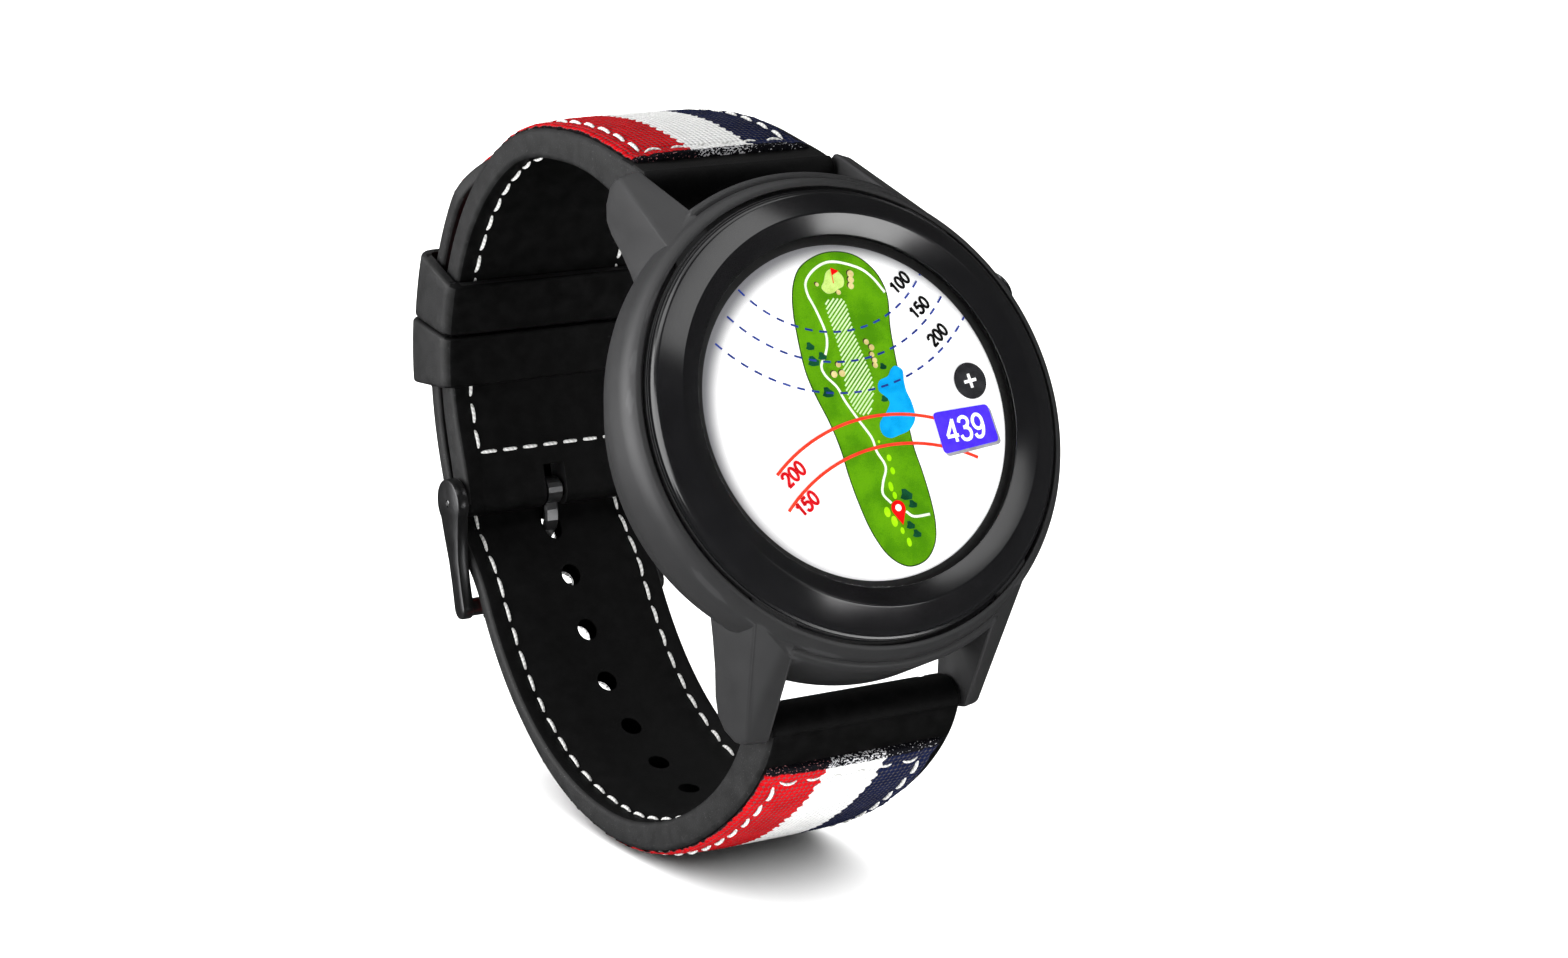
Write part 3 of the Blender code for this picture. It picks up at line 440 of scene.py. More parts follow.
def skin(sections, closed_ends=True):
    """Vertices and faces through a row of closed sections with equal numbers of points."""
    count = len(sections[0])
    vertices = [p for section in sections for p in section]
    faces = []
    for row in range(len(sections) - 1):
        a, b = row * count, (row + 1) * count
        faces += [(a + i, a + (i + 1) % count, b + (i + 1) % count, b + i) for i in range(count)]
    if closed_ends:
        faces += [tuple(range(count)), tuple(range(len(vertices) - count, len(vertices)))]
    return vertices, faces


def tool(vertices, faces, place):
    """A mesh to cut or add with, removed once it has been applied."""
    return piece("tool", vertices, faces, place, BLACK, body=None, sharp=0.0)


def carve(obj, *tools, operation="DIFFERENCE"):
    for cutter in tools:
        modifier = obj.modifiers.new("cut", "BOOLEAN")
        modifier.operation = operation
        modifier.object = cutter
        modifier.solver = "EXACT"
    settle(obj)
    for cutter in tools:
        bpy.data.objects.remove(cutter, do_unlink=True)


def bevelled(obj, width, segments):
    """A tool with its sharp edges rounded."""
    bevel = obj.modifiers.new("edge", "BEVEL")
    bevel.width, bevel.segments = width * MM, segments
    bevel.limit_method, bevel.angle_limit = "ANGLE", math.radians(40.0)
    settle(obj)
    return obj


def settle(obj):
    """Turns an object's modifiers into its mesh."""
    bpy.context.view_layer.update()
    graph = bpy.context.evaluated_depsgraph_get()
    mesh = bpy.data.meshes.new_from_object(obj.evaluated_get(graph))
    mesh.validate()
    obj.modifiers.clear()
    obj.data = mesh
    mesh.shade_smooth()
    mesh.set_sharp_from_angle(angle=math.radians(32.0))


def circle(count):
    """Angles in radians, evenly round a circle."""
    return [2.0 * math.pi * i / count for i in range(count)]


def rod(centre, radius, reach, sides):
    """Vertices and faces of a rod that runs across the watch through a point of the side view."""
    rim = [(centre.x + radius * math.cos(t), centre.y + radius * math.sin(t)) for t in circle(sides)]
    return skin([[(x, y, z) for y, z in rim] for x in (-reach, reach)])


# Strap lines, as the frame has them ----------------------------------------------------------


def in_side_view(v, h):
    lean = math.radians(LEAN)
    return Vector((v * math.sin(lean) - h * math.cos(lean), v * math.cos(lean) + h * math.sin(lean)))


WRAP_CENTRE, WRAP_RADIUS = Vector((38.9, -6.2)), 27.2
UPPER_BAR, LOWER_BAR = in_side_view(26.8, -13.6), in_side_view(-26.8, -13.6)
BUCKLE_BAR, BUCKLE_END = Vector((64.3, -20.9)), Vector((62.0, -32.4))
BUCKLE_DOWN = (BUCKLE_END - BUCKLE_BAR).normalized()
BUCKLE_OUT = Vector((-BUCKLE_DOWN.y, BUCKLE_DOWN.x))
LUG_END_INNER, LUG_END_OUTER, LUG_END_REACH = 2.4, 2.9, 1.75
SHORT_THICKNESS, LAYER_GAP, CLOTH_GAP, CLOTH = 2.9, 0.3, 0.05, 0.45
LONG_OFFSET = SHORT_THICKNESS + CLOTH_GAP + CLOTH + LAYER_GAP
SHORT_END_HALF = 1.8
HALF_WIDTH = 11.0


def bezier(start, start_way, end, end_way, reach_start=0.36, reach_end=0.36):
    chord = (end - start).length
    handle_a = start + start_way.normalized() * chord * reach_start
    handle_b = end - end_way.normalized() * chord * reach_end
    return interpolate_bezier(start, handle_a, handle_b, end, 40)


def wrap_point(angle, radius):
    turn = math.radians(angle)
    return WRAP_CENTRE + Vector((math.cos(turn), math.sin(turn))) * radius


def rising(angle):
    turn = math.radians(angle)
    return Vector((-math.sin(turn), math.cos(turn)))


def wrap_arc(start, end, radius):
    steps = round(abs(end - start))
    return [wrap_point(start + (end - start) * i / steps, radius) for i in range(steps + 1)]


class Path:
    """A line in the side view, measured by its length, smoothed where its pieces join."""

    def __init__(self, points, hand):
        kept = [points[0]]
        for point in points[1:]:
            if (point - kept[-1]).length > 1e-4:
                kept.append(point)
        raw = np.array([tuple(p) for p in kept])
        steps = np.r_[0.0, np.cumsum(np.hypot(*np.diff(raw, axis=0).T))]
        self.length = steps[-1]
        self.s = np.linspace(0.0, self.length, int(self.length / 0.1))
        self.points = np.stack([np.interp(self.s, steps, raw[:, k]) for k in (0, 1)], 1)
        way = np.gradient(self.points, axis=0)
        kernel = np.ones(13) / 13.0
        padded = np.pad(way, ((6, 6), (0, 0)), mode="edge")
        way = np.stack([np.convolve(padded[:, k], kernel, "valid") for k in (0, 1)], 1)
        self.way = way / np.hypot(*way.T)[:, None]
        self.hand = hand

    def at(self, distance):
        """The point, the direction along and the direction outwards at a distance."""
        point = Vector([float(np.interp(distance, self.s, self.points[:, k])) for k in (0, 1)])
        along = Vector([float(np.interp(distance, self.s, self.way[:, k])) for k in (0, 1)]).normalized()
        return point, along, Vector((along.y, -along.x)) * self.hand

    def nearest(self, target):
        return float(self.s[np.argmin(np.hypot(*(self.points - np.array(target)).T))])


def short_strap_path():
    leaving = Vector((0.93, 0.37)).normalized()
    start = UPPER_BAR - Vector((-leaving.y, leaving.x)) * LUG_END_INNER
    crown = Vector((39.5, 19.85))
    level = Vector((1.0, 0.0))
    points = bezier(start, leaving, crown, level)
    points += bezier(crown, level, wrap_point(60.0, WRAP_RADIUS), -rising(60.0))
    points += wrap_arc(60.0, -2.0, WRAP_RADIUS)
    end = BUCKLE_BAR - BUCKLE_OUT * SHORT_END_HALF
    points += bezier(wrap_point(-2.0, WRAP_RADIUS), -rising(-2.0), end, BUCKLE_DOWN)
    return Path(points, -1.0)


def long_strap_path():
    leaving = Vector((0.2, -0.98)).normalized()
    start = LOWER_BAR + Vector((-leaving.y, leaving.x)) * LUG_END_INNER
    bottom, level = Vector((30.8, -47.45)), Vector((1.0, 0.0))
    through, climb = Vector((58.85, -30.6)), Vector((0.5, 0.866))
    over_bar, turn = BUCKLE_BAR + BUCKLE_OUT * (SHORT_END_HALF + LAYER_GAP), Vector((0.36, 0.93))
    radius = WRAP_RADIUS + LONG_OFFSET
    points = bezier(start, leaving, bottom, level, 0.28)
    points += bezier(bottom, level, through, climb, 0.38, 0.38)
    points += bezier(through, climb, over_bar, turn)
    points += bezier(over_bar, turn, wrap_point(-8.0, radius), rising(-8.0))
    points += wrap_arc(-8.0, 52.0, radius)
    return Path(points, 1.0)


SHORT, LONG = short_strap_path(), long_strap_path()
ARC_END = SHORT.nearest(wrap_point(-2.0, WRAP_RADIUS))
# Thickness of the rubber at distances from the lug bar
SHORT.keys = [(0.0, 5.3), (5.0, 4.2), (12.0, 3.5), (26.0, 2.9), (ARC_END, 2.9), (SHORT.length, 3.6)]
LONG.keys = [(0.0, 5.3), (5.0, 4.2), (12.0, 3.4), (36.0, 2.8), (54.0, 2.0), (LONG.length, 1.9)]
TIP_ROUND = 9.0
SEAM_EDGE = 0.80  # the inside seams, as a share of half the width


def thickness(path, distance):
    """Strap thickness at a distance, eased between its keys."""
    spots, values = np.array(path.keys).T
    return float(np.mean(np.interp(distance + np.linspace(-2.5, 2.5, 7), spots, values)))


def tip_width(half_width, to_tip):
    if to_tip >= TIP_ROUND:
        return half_width
    share = 1.0 - max(to_tip, 0.0) / TIP_ROUND
    return half_width * math.sqrt(max(0.0, 1.0 - share * share))


CORNERS = ((1, 1, 0), (-1, 1, 90), (-1, -1, 180), (1, -1, 270))


def quarter_turn(middle, radius, start, steps):
    """Points round one rounded corner."""
    turns = [math.radians(start + 90.0 * step / steps) for step in range(steps + 1)]
    return [(middle[0] + radius * math.cos(t), middle[1] + radius * math.sin(t)) for t in turns]


def strap_section(point, outward, width, low, high, corner=0.55):
    """One rounded cross-section of the rubber, with the stitch channel pressed in its inside."""
    corner = min(corner, 0.45 * (high - low), 0.5 * width)
    outline = []
    for x, side, start in CORNERS:
        middle = (x * (width - corner), high - corner if side > 0 else low + corner)
        outline += quarter_turn(middle, corner, start, 4)
        if (x, side) == (1, 1):
            outline += [(width * k, high) for k in (0.6, 0.2, -0.2, -0.6)]
        if (x, side) == (-1, -1):
            channel = [(-0.55, 0.0), (-0.25, 0.16), (0.25, 0.16), (0.55, 0.0)]
            outline += [(-SEAM_EDGE * width + dx, low + dz) for dx, dz in channel]
            outline += [(width * k, low) for k in (-0.4, 0.0, 0.4)]
            outline += [(SEAM_EDGE * width + dx, low + dz) for dx, dz in channel]
    return [(x, *(point + outward * z)) for x, z in outline]


def roll_sections(centre, away, outward, inner, outer, reach):
    """Sections that round a strap off past its bar."""
    sections = []
    for angle in np.linspace(86.0, 8.0, 12):
        turn = math.radians(angle)
        middle = centre + away * reach * math.cos(turn)
        low, high = -inner * math.sin(turn), outer * math.sin(turn)
        sections.append(strap_section(middle, outward, HALF_WIDTH, low, high))
    return sections[::-1]


def line(obj, inside_only=False):
    """Gives all but a strap's side walls, or only its inside, a smoother, darker copy of the rubber; its darkness
    is painted shade on faces that get less light than the side walls.
    """
    obj.data.materials.append(SHADED_RUBBER)
    centre = Vector((0.0, *WRAP_CENTRE)) * MM + DIAL
    for face in obj.data.polygons:
        inward = face.normal.dot(centre - face.center) > 0.0
        face.material_index = int(abs(face.normal.x) < 0.55 and (inward or not inside_only))


def build_strap(name, path, start_bar, end_bar, node):
    _, along, outward = path.at(0.0)
    sections = roll_sections(start_bar, -along, outward, LUG_END_INNER, LUG_END_OUTER, LUG_END_REACH)
    distances = list(np.arange(0.0, path.length, 0.7))
    if end_bar is None:
        distances = [d for d in distances if d < path.length - TIP_ROUND]
        distances += [path.length - TIP_ROUND * (1.0 - math.sin(k)) for k in np.linspace(0.0, 1.53, 26)]
    else:
        distances.append(path.length)
    for distance in distances:
        point, _, outward = path.at(distance)
        width = HALF_WIDTH if end_bar else tip_width(HALF_WIDTH, path.length - distance)
        sections.append(strap_section(point, outward, max(width, 0.3), 0.0, thickness(path, distance)))
    if end_bar:
        tail = roll_sections(end_bar, BUCKLE_DOWN, BUCKLE_OUT, SHORT_END_HALF, SHORT_END_HALF, SHORT_END_HALF)
        sections += tail[::-1]
    vertices, faces = skin(sections)
    return piece(name, vertices, faces, SIDE, STRAP_SKIN, slot="strap_rubber", replaces=(node,), sharp=40.0)


def hole_distances():
    over_bar = BUCKLE_BAR + BUCKLE_OUT * (SHORT_END_HALF + LAYER_GAP)
    tongue_hole = LONG.nearest(over_bar) - 4.3
    return [(tongue_hole + number * 6.6, 1.7 if number == 0 else 1.15) for number in range(-6, 3)]


HOLE_RADIUS = 1.1
HOLE_CLEAR = 1.16  # the canvas is cut this much wider than the rubber
HOLES = hole_distances()


def hole_tools():
    tools = []
    for distance, long_way in HOLES:
        point, along, outward = LONG.at(distance)
        rim = [(HOLE_RADIUS * math.cos(t), along * HOLE_RADIUS * long_way * math.sin(t)) for t in circle(28)]
        rows = [[(x, *(point + outward * depth + shift)) for x, shift in rim] for depth in (-1.5, 4.5)]
        tools.append(tool(*skin(rows), SIDE))
    return tools


def bar_tool(centre, radius):
    return tool(*rod(centre, radius, 12.0, 24), SIDE)


def slot_tool():
    """The room that the tongue turns in."""
    corners = [(-3.0, -3.2), (3.4, -3.2), (3.4, 3.2), (-3.0, 3.2)]
    return tool(*skin([[(x, *(BUCKLE_BAR + BUCKLE_DOWN * s + BUCKLE_OUT * n)) for s, n in corners]
                       for x in (-1.3, 1.3)]), SIDE)


STITCH_PITCH = 2.75
HEM_STITCH = 1.9


def cloth_top(x, distance):
    """How far the ribbon's face stands off the rubber: crowned, and pulled in by its stitches."""
    rise = 0.36 + 0.34 * (1.0 - np.abs(x / 10.6) ** 4)
    for line in (STITCH_LEFT, STITCH_RIGHT):
        pull = 0.5 + 0.5 * np.cos(2.0 * np.pi * distance / STITCH_PITCH)
        rise = rise - (0.10 + 0.10 * pull) * np.exp(-((x - line) / 0.55) ** 2)
    return rise - 0.16 * np.exp(-((distance - HEM_STITCH) / 0.5) ** 2)


def weave_array(across, along):
    u, v = across / THREAD_PITCH, along / THREAD_PITCH
    fu, fv = u - np.floor(u) - 0.5, v - np.floor(v) - 0.5
    side = np.where((np.floor(u) + np.floor(v)) % 2 > 0.5, 1.0, -1.0)
    warp = np.sqrt(np.maximum(0.0, 1.0 - 3.6 * fu * fu)) + side * np.cos(np.pi * fv) * 0.55
    weft = np.sqrt(np.maximum(0.0, 1.0 - 3.6 * fv * fv)) - side * np.cos(np.pi * fu) * 0.55
    return np.maximum(warp, weft)


def build_cloth(name, path, start, end, holes, tip, node):
    """The woven ribbon on a strap's outside: a fine grid that carries its own weave."""
    step = THREAD_PITCH / 3.0
    columns = int(round((RIBBON_RIGHT - RIBBON_LEFT) / step))
    rows = int(round((end - start) / step))
    distance = np.linspace(start, end, rows + 1)
    share = np.linspace(0.0, 1.0, columns + 1)
    place = [path.at(d) for d in distance]
    base = np.array([tuple(p) for p, _, _ in place])
    out = np.array([tuple(o) for _, _, o in place])
    depth = np.array([thickness(path, d) for d in distance])
    full = np.ones(rows + 1)
    if tip:
        full = np.array([tip_width(HALF_WIDTH, path.length - 0.5 - d) / HALF_WIDTH for d in distance])
    spots = np.arange(0, rows + 4, 3)
    fray = 0.13 * np.interp(np.arange(rows + 1), spots, RNG.standard_normal(len(spots)))
    left, right = full * RIBBON_LEFT + fray, full * RIBBON_RIGHT + fray[::-1]
    x = left[:, None] + (right - left)[:, None] * share[None, :]
    along = np.repeat((distance - start)[:, None], columns + 1, 1)
    rise = depth[:, None] + CLOTH_GAP + cloth_top(x, along) + 0.075 * (weave_array(x, along) - 1.0)
    rise = rise + 0.015 * RNG.standard_normal(rise.shape)
    edge = np.minimum(share, 1.0 - share)[None, :] * (right - left)[:, None]
    rise = rise - 0.34 * np.exp(-edge / 0.45)
    if tip:
        rise[-1] -= 0.2
    y = base[:, 0][:, None] + out[:, 0][:, None] * rise
    z = base[:, 1][:, None] + out[:, 1][:, None] * rise
    count = columns + 1
    vertices = list(np.stack([x, y, z], 2).reshape(-1, 3))
    uvs = list(np.stack([x, along], 2).reshape(-1, 2))
    keep = np.ones((rows, columns), bool)
    middle_x = 0.25 * (x[:-1, :-1] + x[1:, :-1] + x[:-1, 1:] + x[1:, 1:])
    middle_s = 0.5 * (distance[:-1] + distance[1:])[:, None]
    for centre, long_way in holes:
        reach = np.hypot(middle_x / HOLE_RADIUS, (middle_s - centre) / (HOLE_RADIUS * long_way))
        keep &= reach > HOLE_CLEAR
    faces = [(i * count + j, i * count + j + 1, (i + 1) * count + j + 1, (i + 1) * count + j)
             for i in range(rows) for j in range(columns) if keep[i, j]]
    edges = {(a, b): True for face in faces for a, b in zip(face, face[1:] + face[:1])}
    rim = [(a, b) for a, b in edges if (b, a) not in edges]
    under = {}
    for vertex in dict.fromkeys(v for pair in rim for v in pair):
        i, j = divmod(vertex, count)
        under[vertex] = len(vertices)
        vertices.append(np.array((x[i, j], *(base[i] + out[i] * (depth[i] + CLOTH_GAP)))))
        uvs.append(np.array((x[i, j], along[i, j])))
    faces += [(b, a, under[a], under[b]) for a, b in rim]
    obj = piece(name, vertices, faces, SIDE, CANVAS, slot="strap_canvas", replaces=(node,), sharp=0.0,
                uvs=uvs, outward=False)
    obj.visible_diffuse = False


def stitch(centre, along, side, up, length, radius, bend):
    """One sewn stitch: a plump thread that rises from its hole and dives into the next."""
    rings, sides = 9, 8
    rows, marks = [], []
    for k in range(rings):
        t = 2.0 * k / (rings - 1) - 1.0
        arch = radius * (0.9 * (1.0 - t * t) - 0.75 * t ** 4)
        middle = centre + along * (0.5 * length * t) + side * bend * (t * t - 0.4) + up * arch
        girth = radius * math.sqrt(max(0.06, 1.0 - abs(t) ** 3.5))
        row = []
        for i in range(sides):
            turn = 2.0 * math.pi * i / sides
            row.append(middle + side * girth * math.cos(turn) + up * girth * 0.85 * math.sin(turn))
            marks.append((i / sides, 0.5 * length * t))
        rows.append(row)
    return rows, marks


def sew(name, stitches):
    """All the stitches of a seam as one piece."""
    vertices, faces, uvs = [], [], []
    for args in stitches:
        rows, marks = stitch(*args)
        more, more_faces = skin(rows)
        faces += [tuple(len(vertices) + i for i in f) for f in more_faces]
        vertices += [tuple(v) for v in more]
        uvs += marks
    return piece(name, vertices, faces, SIDE, THREAD, slot="strap_canvas", uvs=uvs, sharp=0.0)


THREAD_RADIUS, HEM_THREAD = 0.2, 0.17
CLOTH_LIFT = 0.44
ACROSS = Vector((1.0, 0.0, 0.0))


def seam_place(path, distance, outside, sunk):
    """The middle of a strap's face, the way along it and the way up from it."""
    point, along, outward = path.at(distance)
    up = Vector((0.0, *(outward if outside else -outward)))
    level = thickness(path, distance) + CLOTH_LIFT if outside else 0.0
    middle = Vector((0.0, *(point + outward * level)))
    return middle if outside else middle - up * sunk, along, up


def seam_along(path, x, start, end, outside, pitch=STITCH_PITCH, length=2.5):
    """Stitches along a strap at one distance from its middle."""
    stitches = []
    for distance in np.arange(start + pitch / 2, end - pitch / 2, pitch):
        middle, along, up = seam_place(path, distance, outside, 0.14)
        centre = middle + ACROSS * (x + 0.06 * (RNG.random() - 0.5))
        way = Vector((0.10 * (RNG.random() - 0.5), *along)).normalized()
        stitches.append((centre, way, ACROSS, up, length * (0.92 + 0.16 * RNG.random()), THREAD_RADIUS,
                         0.10 * (RNG.random() - 0.5)))
    return stitches


def seam_across(path, distance, left, right, outside, count, radius=THREAD_RADIUS, bend=0.0):
    """Stitches across a strap, each bent by as much as bend."""
    pitch = (right - left) / count
    middle, along, up = seam_place(path, distance, outside, 0.05)
    side, length = Vector((0.0, *along)), pitch * 0.82
    return [(middle + ACROSS * (left + pitch * (index + 0.5)), ACROSS, side, up, length, radius,
             bend + 0.08 * (RNG.random() - 0.5)) for index in range(count)]


def build_straps():
    short = build_strap("strap_short_rubber", SHORT, UPPER_BAR, BUCKLE_BAR, "strap_short")
    carve(short, bar_tool(UPPER_BAR, 1.0), bar_tool(BUCKLE_BAR, 0.84), slot_tool())
    line(short)
    long = build_strap("strap_long_rubber", LONG, LOWER_BAR, None, "strap_long")
    carve(long, bar_tool(LOWER_BAR, 1.0), *hole_tools())
    line(long)
    short_start, long_start = 2.4, 2.9
    short_end, long_end = ARC_END + 2.0, LONG.length - TIP_ROUND
    build_cloth("strap_short_canvas", SHORT, short_start, short_end, [], False, "strap_short_fabric")
    build_cloth("strap_long_canvas", LONG, long_start, LONG.length - 0.9, HOLES, True,
                "strap_long_fabric")

    def pair(path, left, right, *span, **fine):
        return seam_along(path, left, *span, **fine) + seam_along(path, right, *span, **fine)

    sides = (STITCH_LEFT, STITCH_RIGHT)
    outer_short = pair(SHORT, *sides, short_start + HEM_STITCH, short_end - 0.5, True)
    outer_long = pair(LONG, *sides, long_start + HEM_STITCH, long_end, True)
    hem = (*sides, True, 6, HEM_THREAD, -0.40)
    sew("stitches_outside_short", outer_short + seam_across(SHORT, short_start + HEM_STITCH, *hem))
    sew("stitches_outside_long", outer_long + seam_across(LONG, long_start + HEM_STITCH, *hem))
    edge, row = SEAM_EDGE * HALF_WIDTH, SHORT.length - 5.2
    fine = {"pitch": 2.9, "length": 2.45}
    sew("stitches_inside_short", pair(SHORT, -edge, edge, 6.0, row, False, **fine)
        + seam_across(SHORT, row, -edge, edge, False, 7))
    sew("stitches_inside_long", pair(LONG, -edge, edge, 5.0, long_end, False, **fine))


# Keepers and buckle ------------------------------------------------------------------------


KEEPER_HALF, KEEPER_ROOM, KEEPER_CORNER, KEEPER_RIM = 12.45, 11.35, 1.5, 0.40
KEEPER_LOW, ROOM_LOW = 25.85, 26.95
ROOM_HIGH = WRAP_RADIUS + LONG_OFFSET + 2.0 + CLOTH_GAP + CLOTH + 0.25


def keeper_ring(half, low, high, corner, angle):
    """A rounded box across the wrist curve at an angle, as (x, y, z) points."""
    outline = []
    for x, side, start in CORNERS:
        middle = (x * (half - corner), high - corner if side > 0 else low + corner)
        outline += quarter_turn(middle, corner, start, 6)
    return [(x, *wrap_point(angle, radius)) for x, radius in outline]


def build_keeper(name, arc, high, body, node):
    """A moulded loop: rounded all along its rims, with its room cut to the straps' shape."""
    turn = math.degrees(KEEPER_RIM / (0.5 * (KEEPER_LOW + high)))
    rounding = [(KEEPER_RIM * (1.0 - math.sin(q)), turn * (1.0 - math.cos(q)))
                for q in np.radians(np.linspace(0.0, 90.0, 5))]
    slices = [(inset, arc[0] + shift) for inset, shift in rounding]
    slices += [(0.0, a) for a in np.linspace(arc[0] + turn, arc[1] - turn, 7)[1:-1]]
    slices += [(inset, arc[1] - shift) for inset, shift in rounding[::-1]]
    rings = [keeper_ring(KEEPER_HALF - inset, KEEPER_LOW + inset, high - inset, KEEPER_CORNER, angle)
             for inset, angle in slices]
    rings += [keeper_ring(KEEPER_ROOM, ROOM_LOW, ROOM_HIGH, 0.5, a) for a in np.linspace(arc[1], arc[0], 7)]
    vertices, faces = skin(rings + rings[:1], closed_ends=False)
    vertices = vertices[:-len(rings[0])]
    faces = [tuple(i % len(vertices) for i in f) for f in faces]
    # The inside of the loop takes the darker rubber, as painted shade.
    line(piece(name, vertices, faces, SIDE, KEEPER_SKIN, body=body, slot="strap_rubber", replaces=(node,),
               sharp=50.0), inside_only=True)


def buckle_outline(grow):
    """The side plate: a round head on the bar, a waist and a small round foot."""
    head, foot, ends = 2.7 + grow, 1.25 + grow, (BUCKLE_END - BUCKLE_BAR)
    outline = [-BUCKLE_DOWN * head * math.sin(t) + BUCKLE_OUT * head * math.cos(t)
               for t in np.radians(np.linspace(-35.0, 215.0, 31))]
    outline += [BUCKLE_DOWN * down - BUCKLE_OUT * (half + grow)
                for down, half in ((3.9, 1.55), (6.4, 1.05), (9.0, 1.05))]
    outline += [ends + BUCKLE_DOWN * foot * math.sin(t) - BUCKLE_OUT * foot * math.cos(t)
                for t in np.radians(np.linspace(-15.0, 185.0, 19))]
    outline += [BUCKLE_DOWN * down + BUCKLE_OUT * (half + grow)
                for down, half in ((9.0, 1.3), (6.4, 1.45), (3.9, 1.9))]
    return outline


PLATE_INNER, PLATE_OUTER, PLATE_EDGE = 11.35, 12.75, 0.28


def build_buckle():
    profile = [(PLATE_INNER, -PLATE_EDGE), (PLATE_INNER + 0.08, -0.08), (PLATE_INNER + PLATE_EDGE, 0.0),
               (PLATE_OUTER - PLATE_EDGE, 0.0), (PLATE_OUTER - 0.08, -0.08), (PLATE_OUTER, -PLATE_EDGE)]
    plates = []
    for side in (-1.0, 1.0):
        rows = [[(side * x, *(BUCKLE_BAR + p)) for p in buckle_outline(grow)] for x, grow in profile]
        plates.append(tool(*skin(rows), SIDE))
    obj = piece("buckle_frame_metal", *rod(BUCKLE_END, 1.0, 12.4, 40), SIDE, BUCKLE, body="buckle",
                slot="buckle_black", replaces=("buckle_frame",))
    carve(obj, *plates, operation="UNION")
    carve(obj, tool(*rod(BUCKLE_BAR, 0.43, 14.0, 24), SIDE))


# Case --------------------------------------------------------------------------------------


def lug_tool(x_way, y_way):
    side = [(13.0, -1.1), (17.6, -1.1), (28.4, -11.9), (28.6, -12.9), (28.1, -14.2), (26.7, -15.2),
            (25.0, -15.3), (23.2, -14.3), (20.6, -12.2), (18.4, -10.6), (15.0, -9.6)]
    at_inner = {1: (20.4, -1.1), 2: (29.0, -11.5)}
    rows = [[], []]
    for index, (v, h) in enumerate(side):
        inner_v, inner_h = at_inner.get(index, (v, h))
        spread = min(1.0, max(0.0, (28.4 - v) / (28.4 - 17.6)))
        rows[0].append((x_way * 11.3, y_way * inner_v, inner_h))
        rows[1].append((x_way * (13.5 + 2.1 * spread), y_way * v, h))
    return bevelled(tool(*skin(rows), CASE), 0.35, 3)


def bridge_tool(y_way):
    outline = []
    for angle in np.radians(np.linspace(61.0, 119.0, 41)):
        outline.append((25.0 * math.cos(angle), 25.0 * math.sin(angle) * y_way))
    outline += [(outline[-1][0], 17.0 * y_way), (outline[0][0], 17.0 * y_way)]
    return bevelled(tool(*skin([[(x, y, h) for x, y in outline] for h in (-10.6, -2.6)]), CASE), 0.9, 4)


def spoke(angle, height):
    turn = math.radians(angle)
    outward = Vector((math.cos(turn), math.sin(turn), 0.0))
    up = Vector((0.0, 0.0, 1.0))
    axes = Matrix((up, outward.cross(up), outward)).transposed().to_4x4()
    return CASE @ Matrix.Translation((0.0, 0.0, height)) @ axes


BUTTON_PLACE = spoke(27.0, -5.8)


def build_case():
    shell = turned("case_shell", [
        (18.65, -0.85, 0.1), (22.4, -0.85, 0.08), (22.4, -1.6), (22.85, -1.6), (22.85, -0.85, 0.12),
        (23.3, -0.95, 0.15), (23.9, -1.6, 0.5), (24.2, -2.6, 0.6), (24.2, -6.2, 1.6), (23.3, -8.1, 1.4),
        (22.2, -10.2, 1.4), (21.5, -11.9, 0.5), (21.1, -12.5, 0.25), (20.85, -12.5), (20.85, -11.9),
        (17.6, -11.9), (17.6, -10.2), (19.6, -10.2), (19.6, -3.9), (17.75, -3.9), (17.75, -1.35),
        (18.65, -1.35),
    ], CASE, BLACK, 192, slot="case_black", replaces=("case_body",))
    quarters = [(x, y) for x in (-1.0, 1.0) for y in (-1.0, 1.0)]
    lugs = [lug_tool(x, y) for x, y in quarters]
    carve(shell, bridge_tool(1.0), bridge_tool(-1.0), *lugs, operation="UNION")
    cuts = [
        tool(*lathe([(0.0, -14.0), (20.85, -14.0), (20.85, -11.9), (0.0, -11.9)], 192), CASE),
        tool(*lathe([(0.0, -11.95), (17.6, -11.95), (17.6, -10.2), (19.6, -10.2), (19.6, -3.9), (17.75, -3.9),
                     (17.75, -1.0), (0.0, -1.0)], 192), CASE),
        tool(*lathe([(0.0, 22.3), (1.75, 22.3), (1.75, 26.0), (0.0, 26.0)], 40), BUTTON_PLACE),
    ]
    for x, y in quarters:  # the spring bars' holes
        place = CASE @ Matrix.Translation((x * 11.9, y * 26.8, -13.6)) @ Matrix.Rotation(math.pi / 2, 4, "Y")
        cuts.append(tool(*lathe([(0.0, -1.0), (0.52, -1.0), (0.52, 1.0), (0.0, 1.0)], 20), place))
    carve(shell, *cuts)


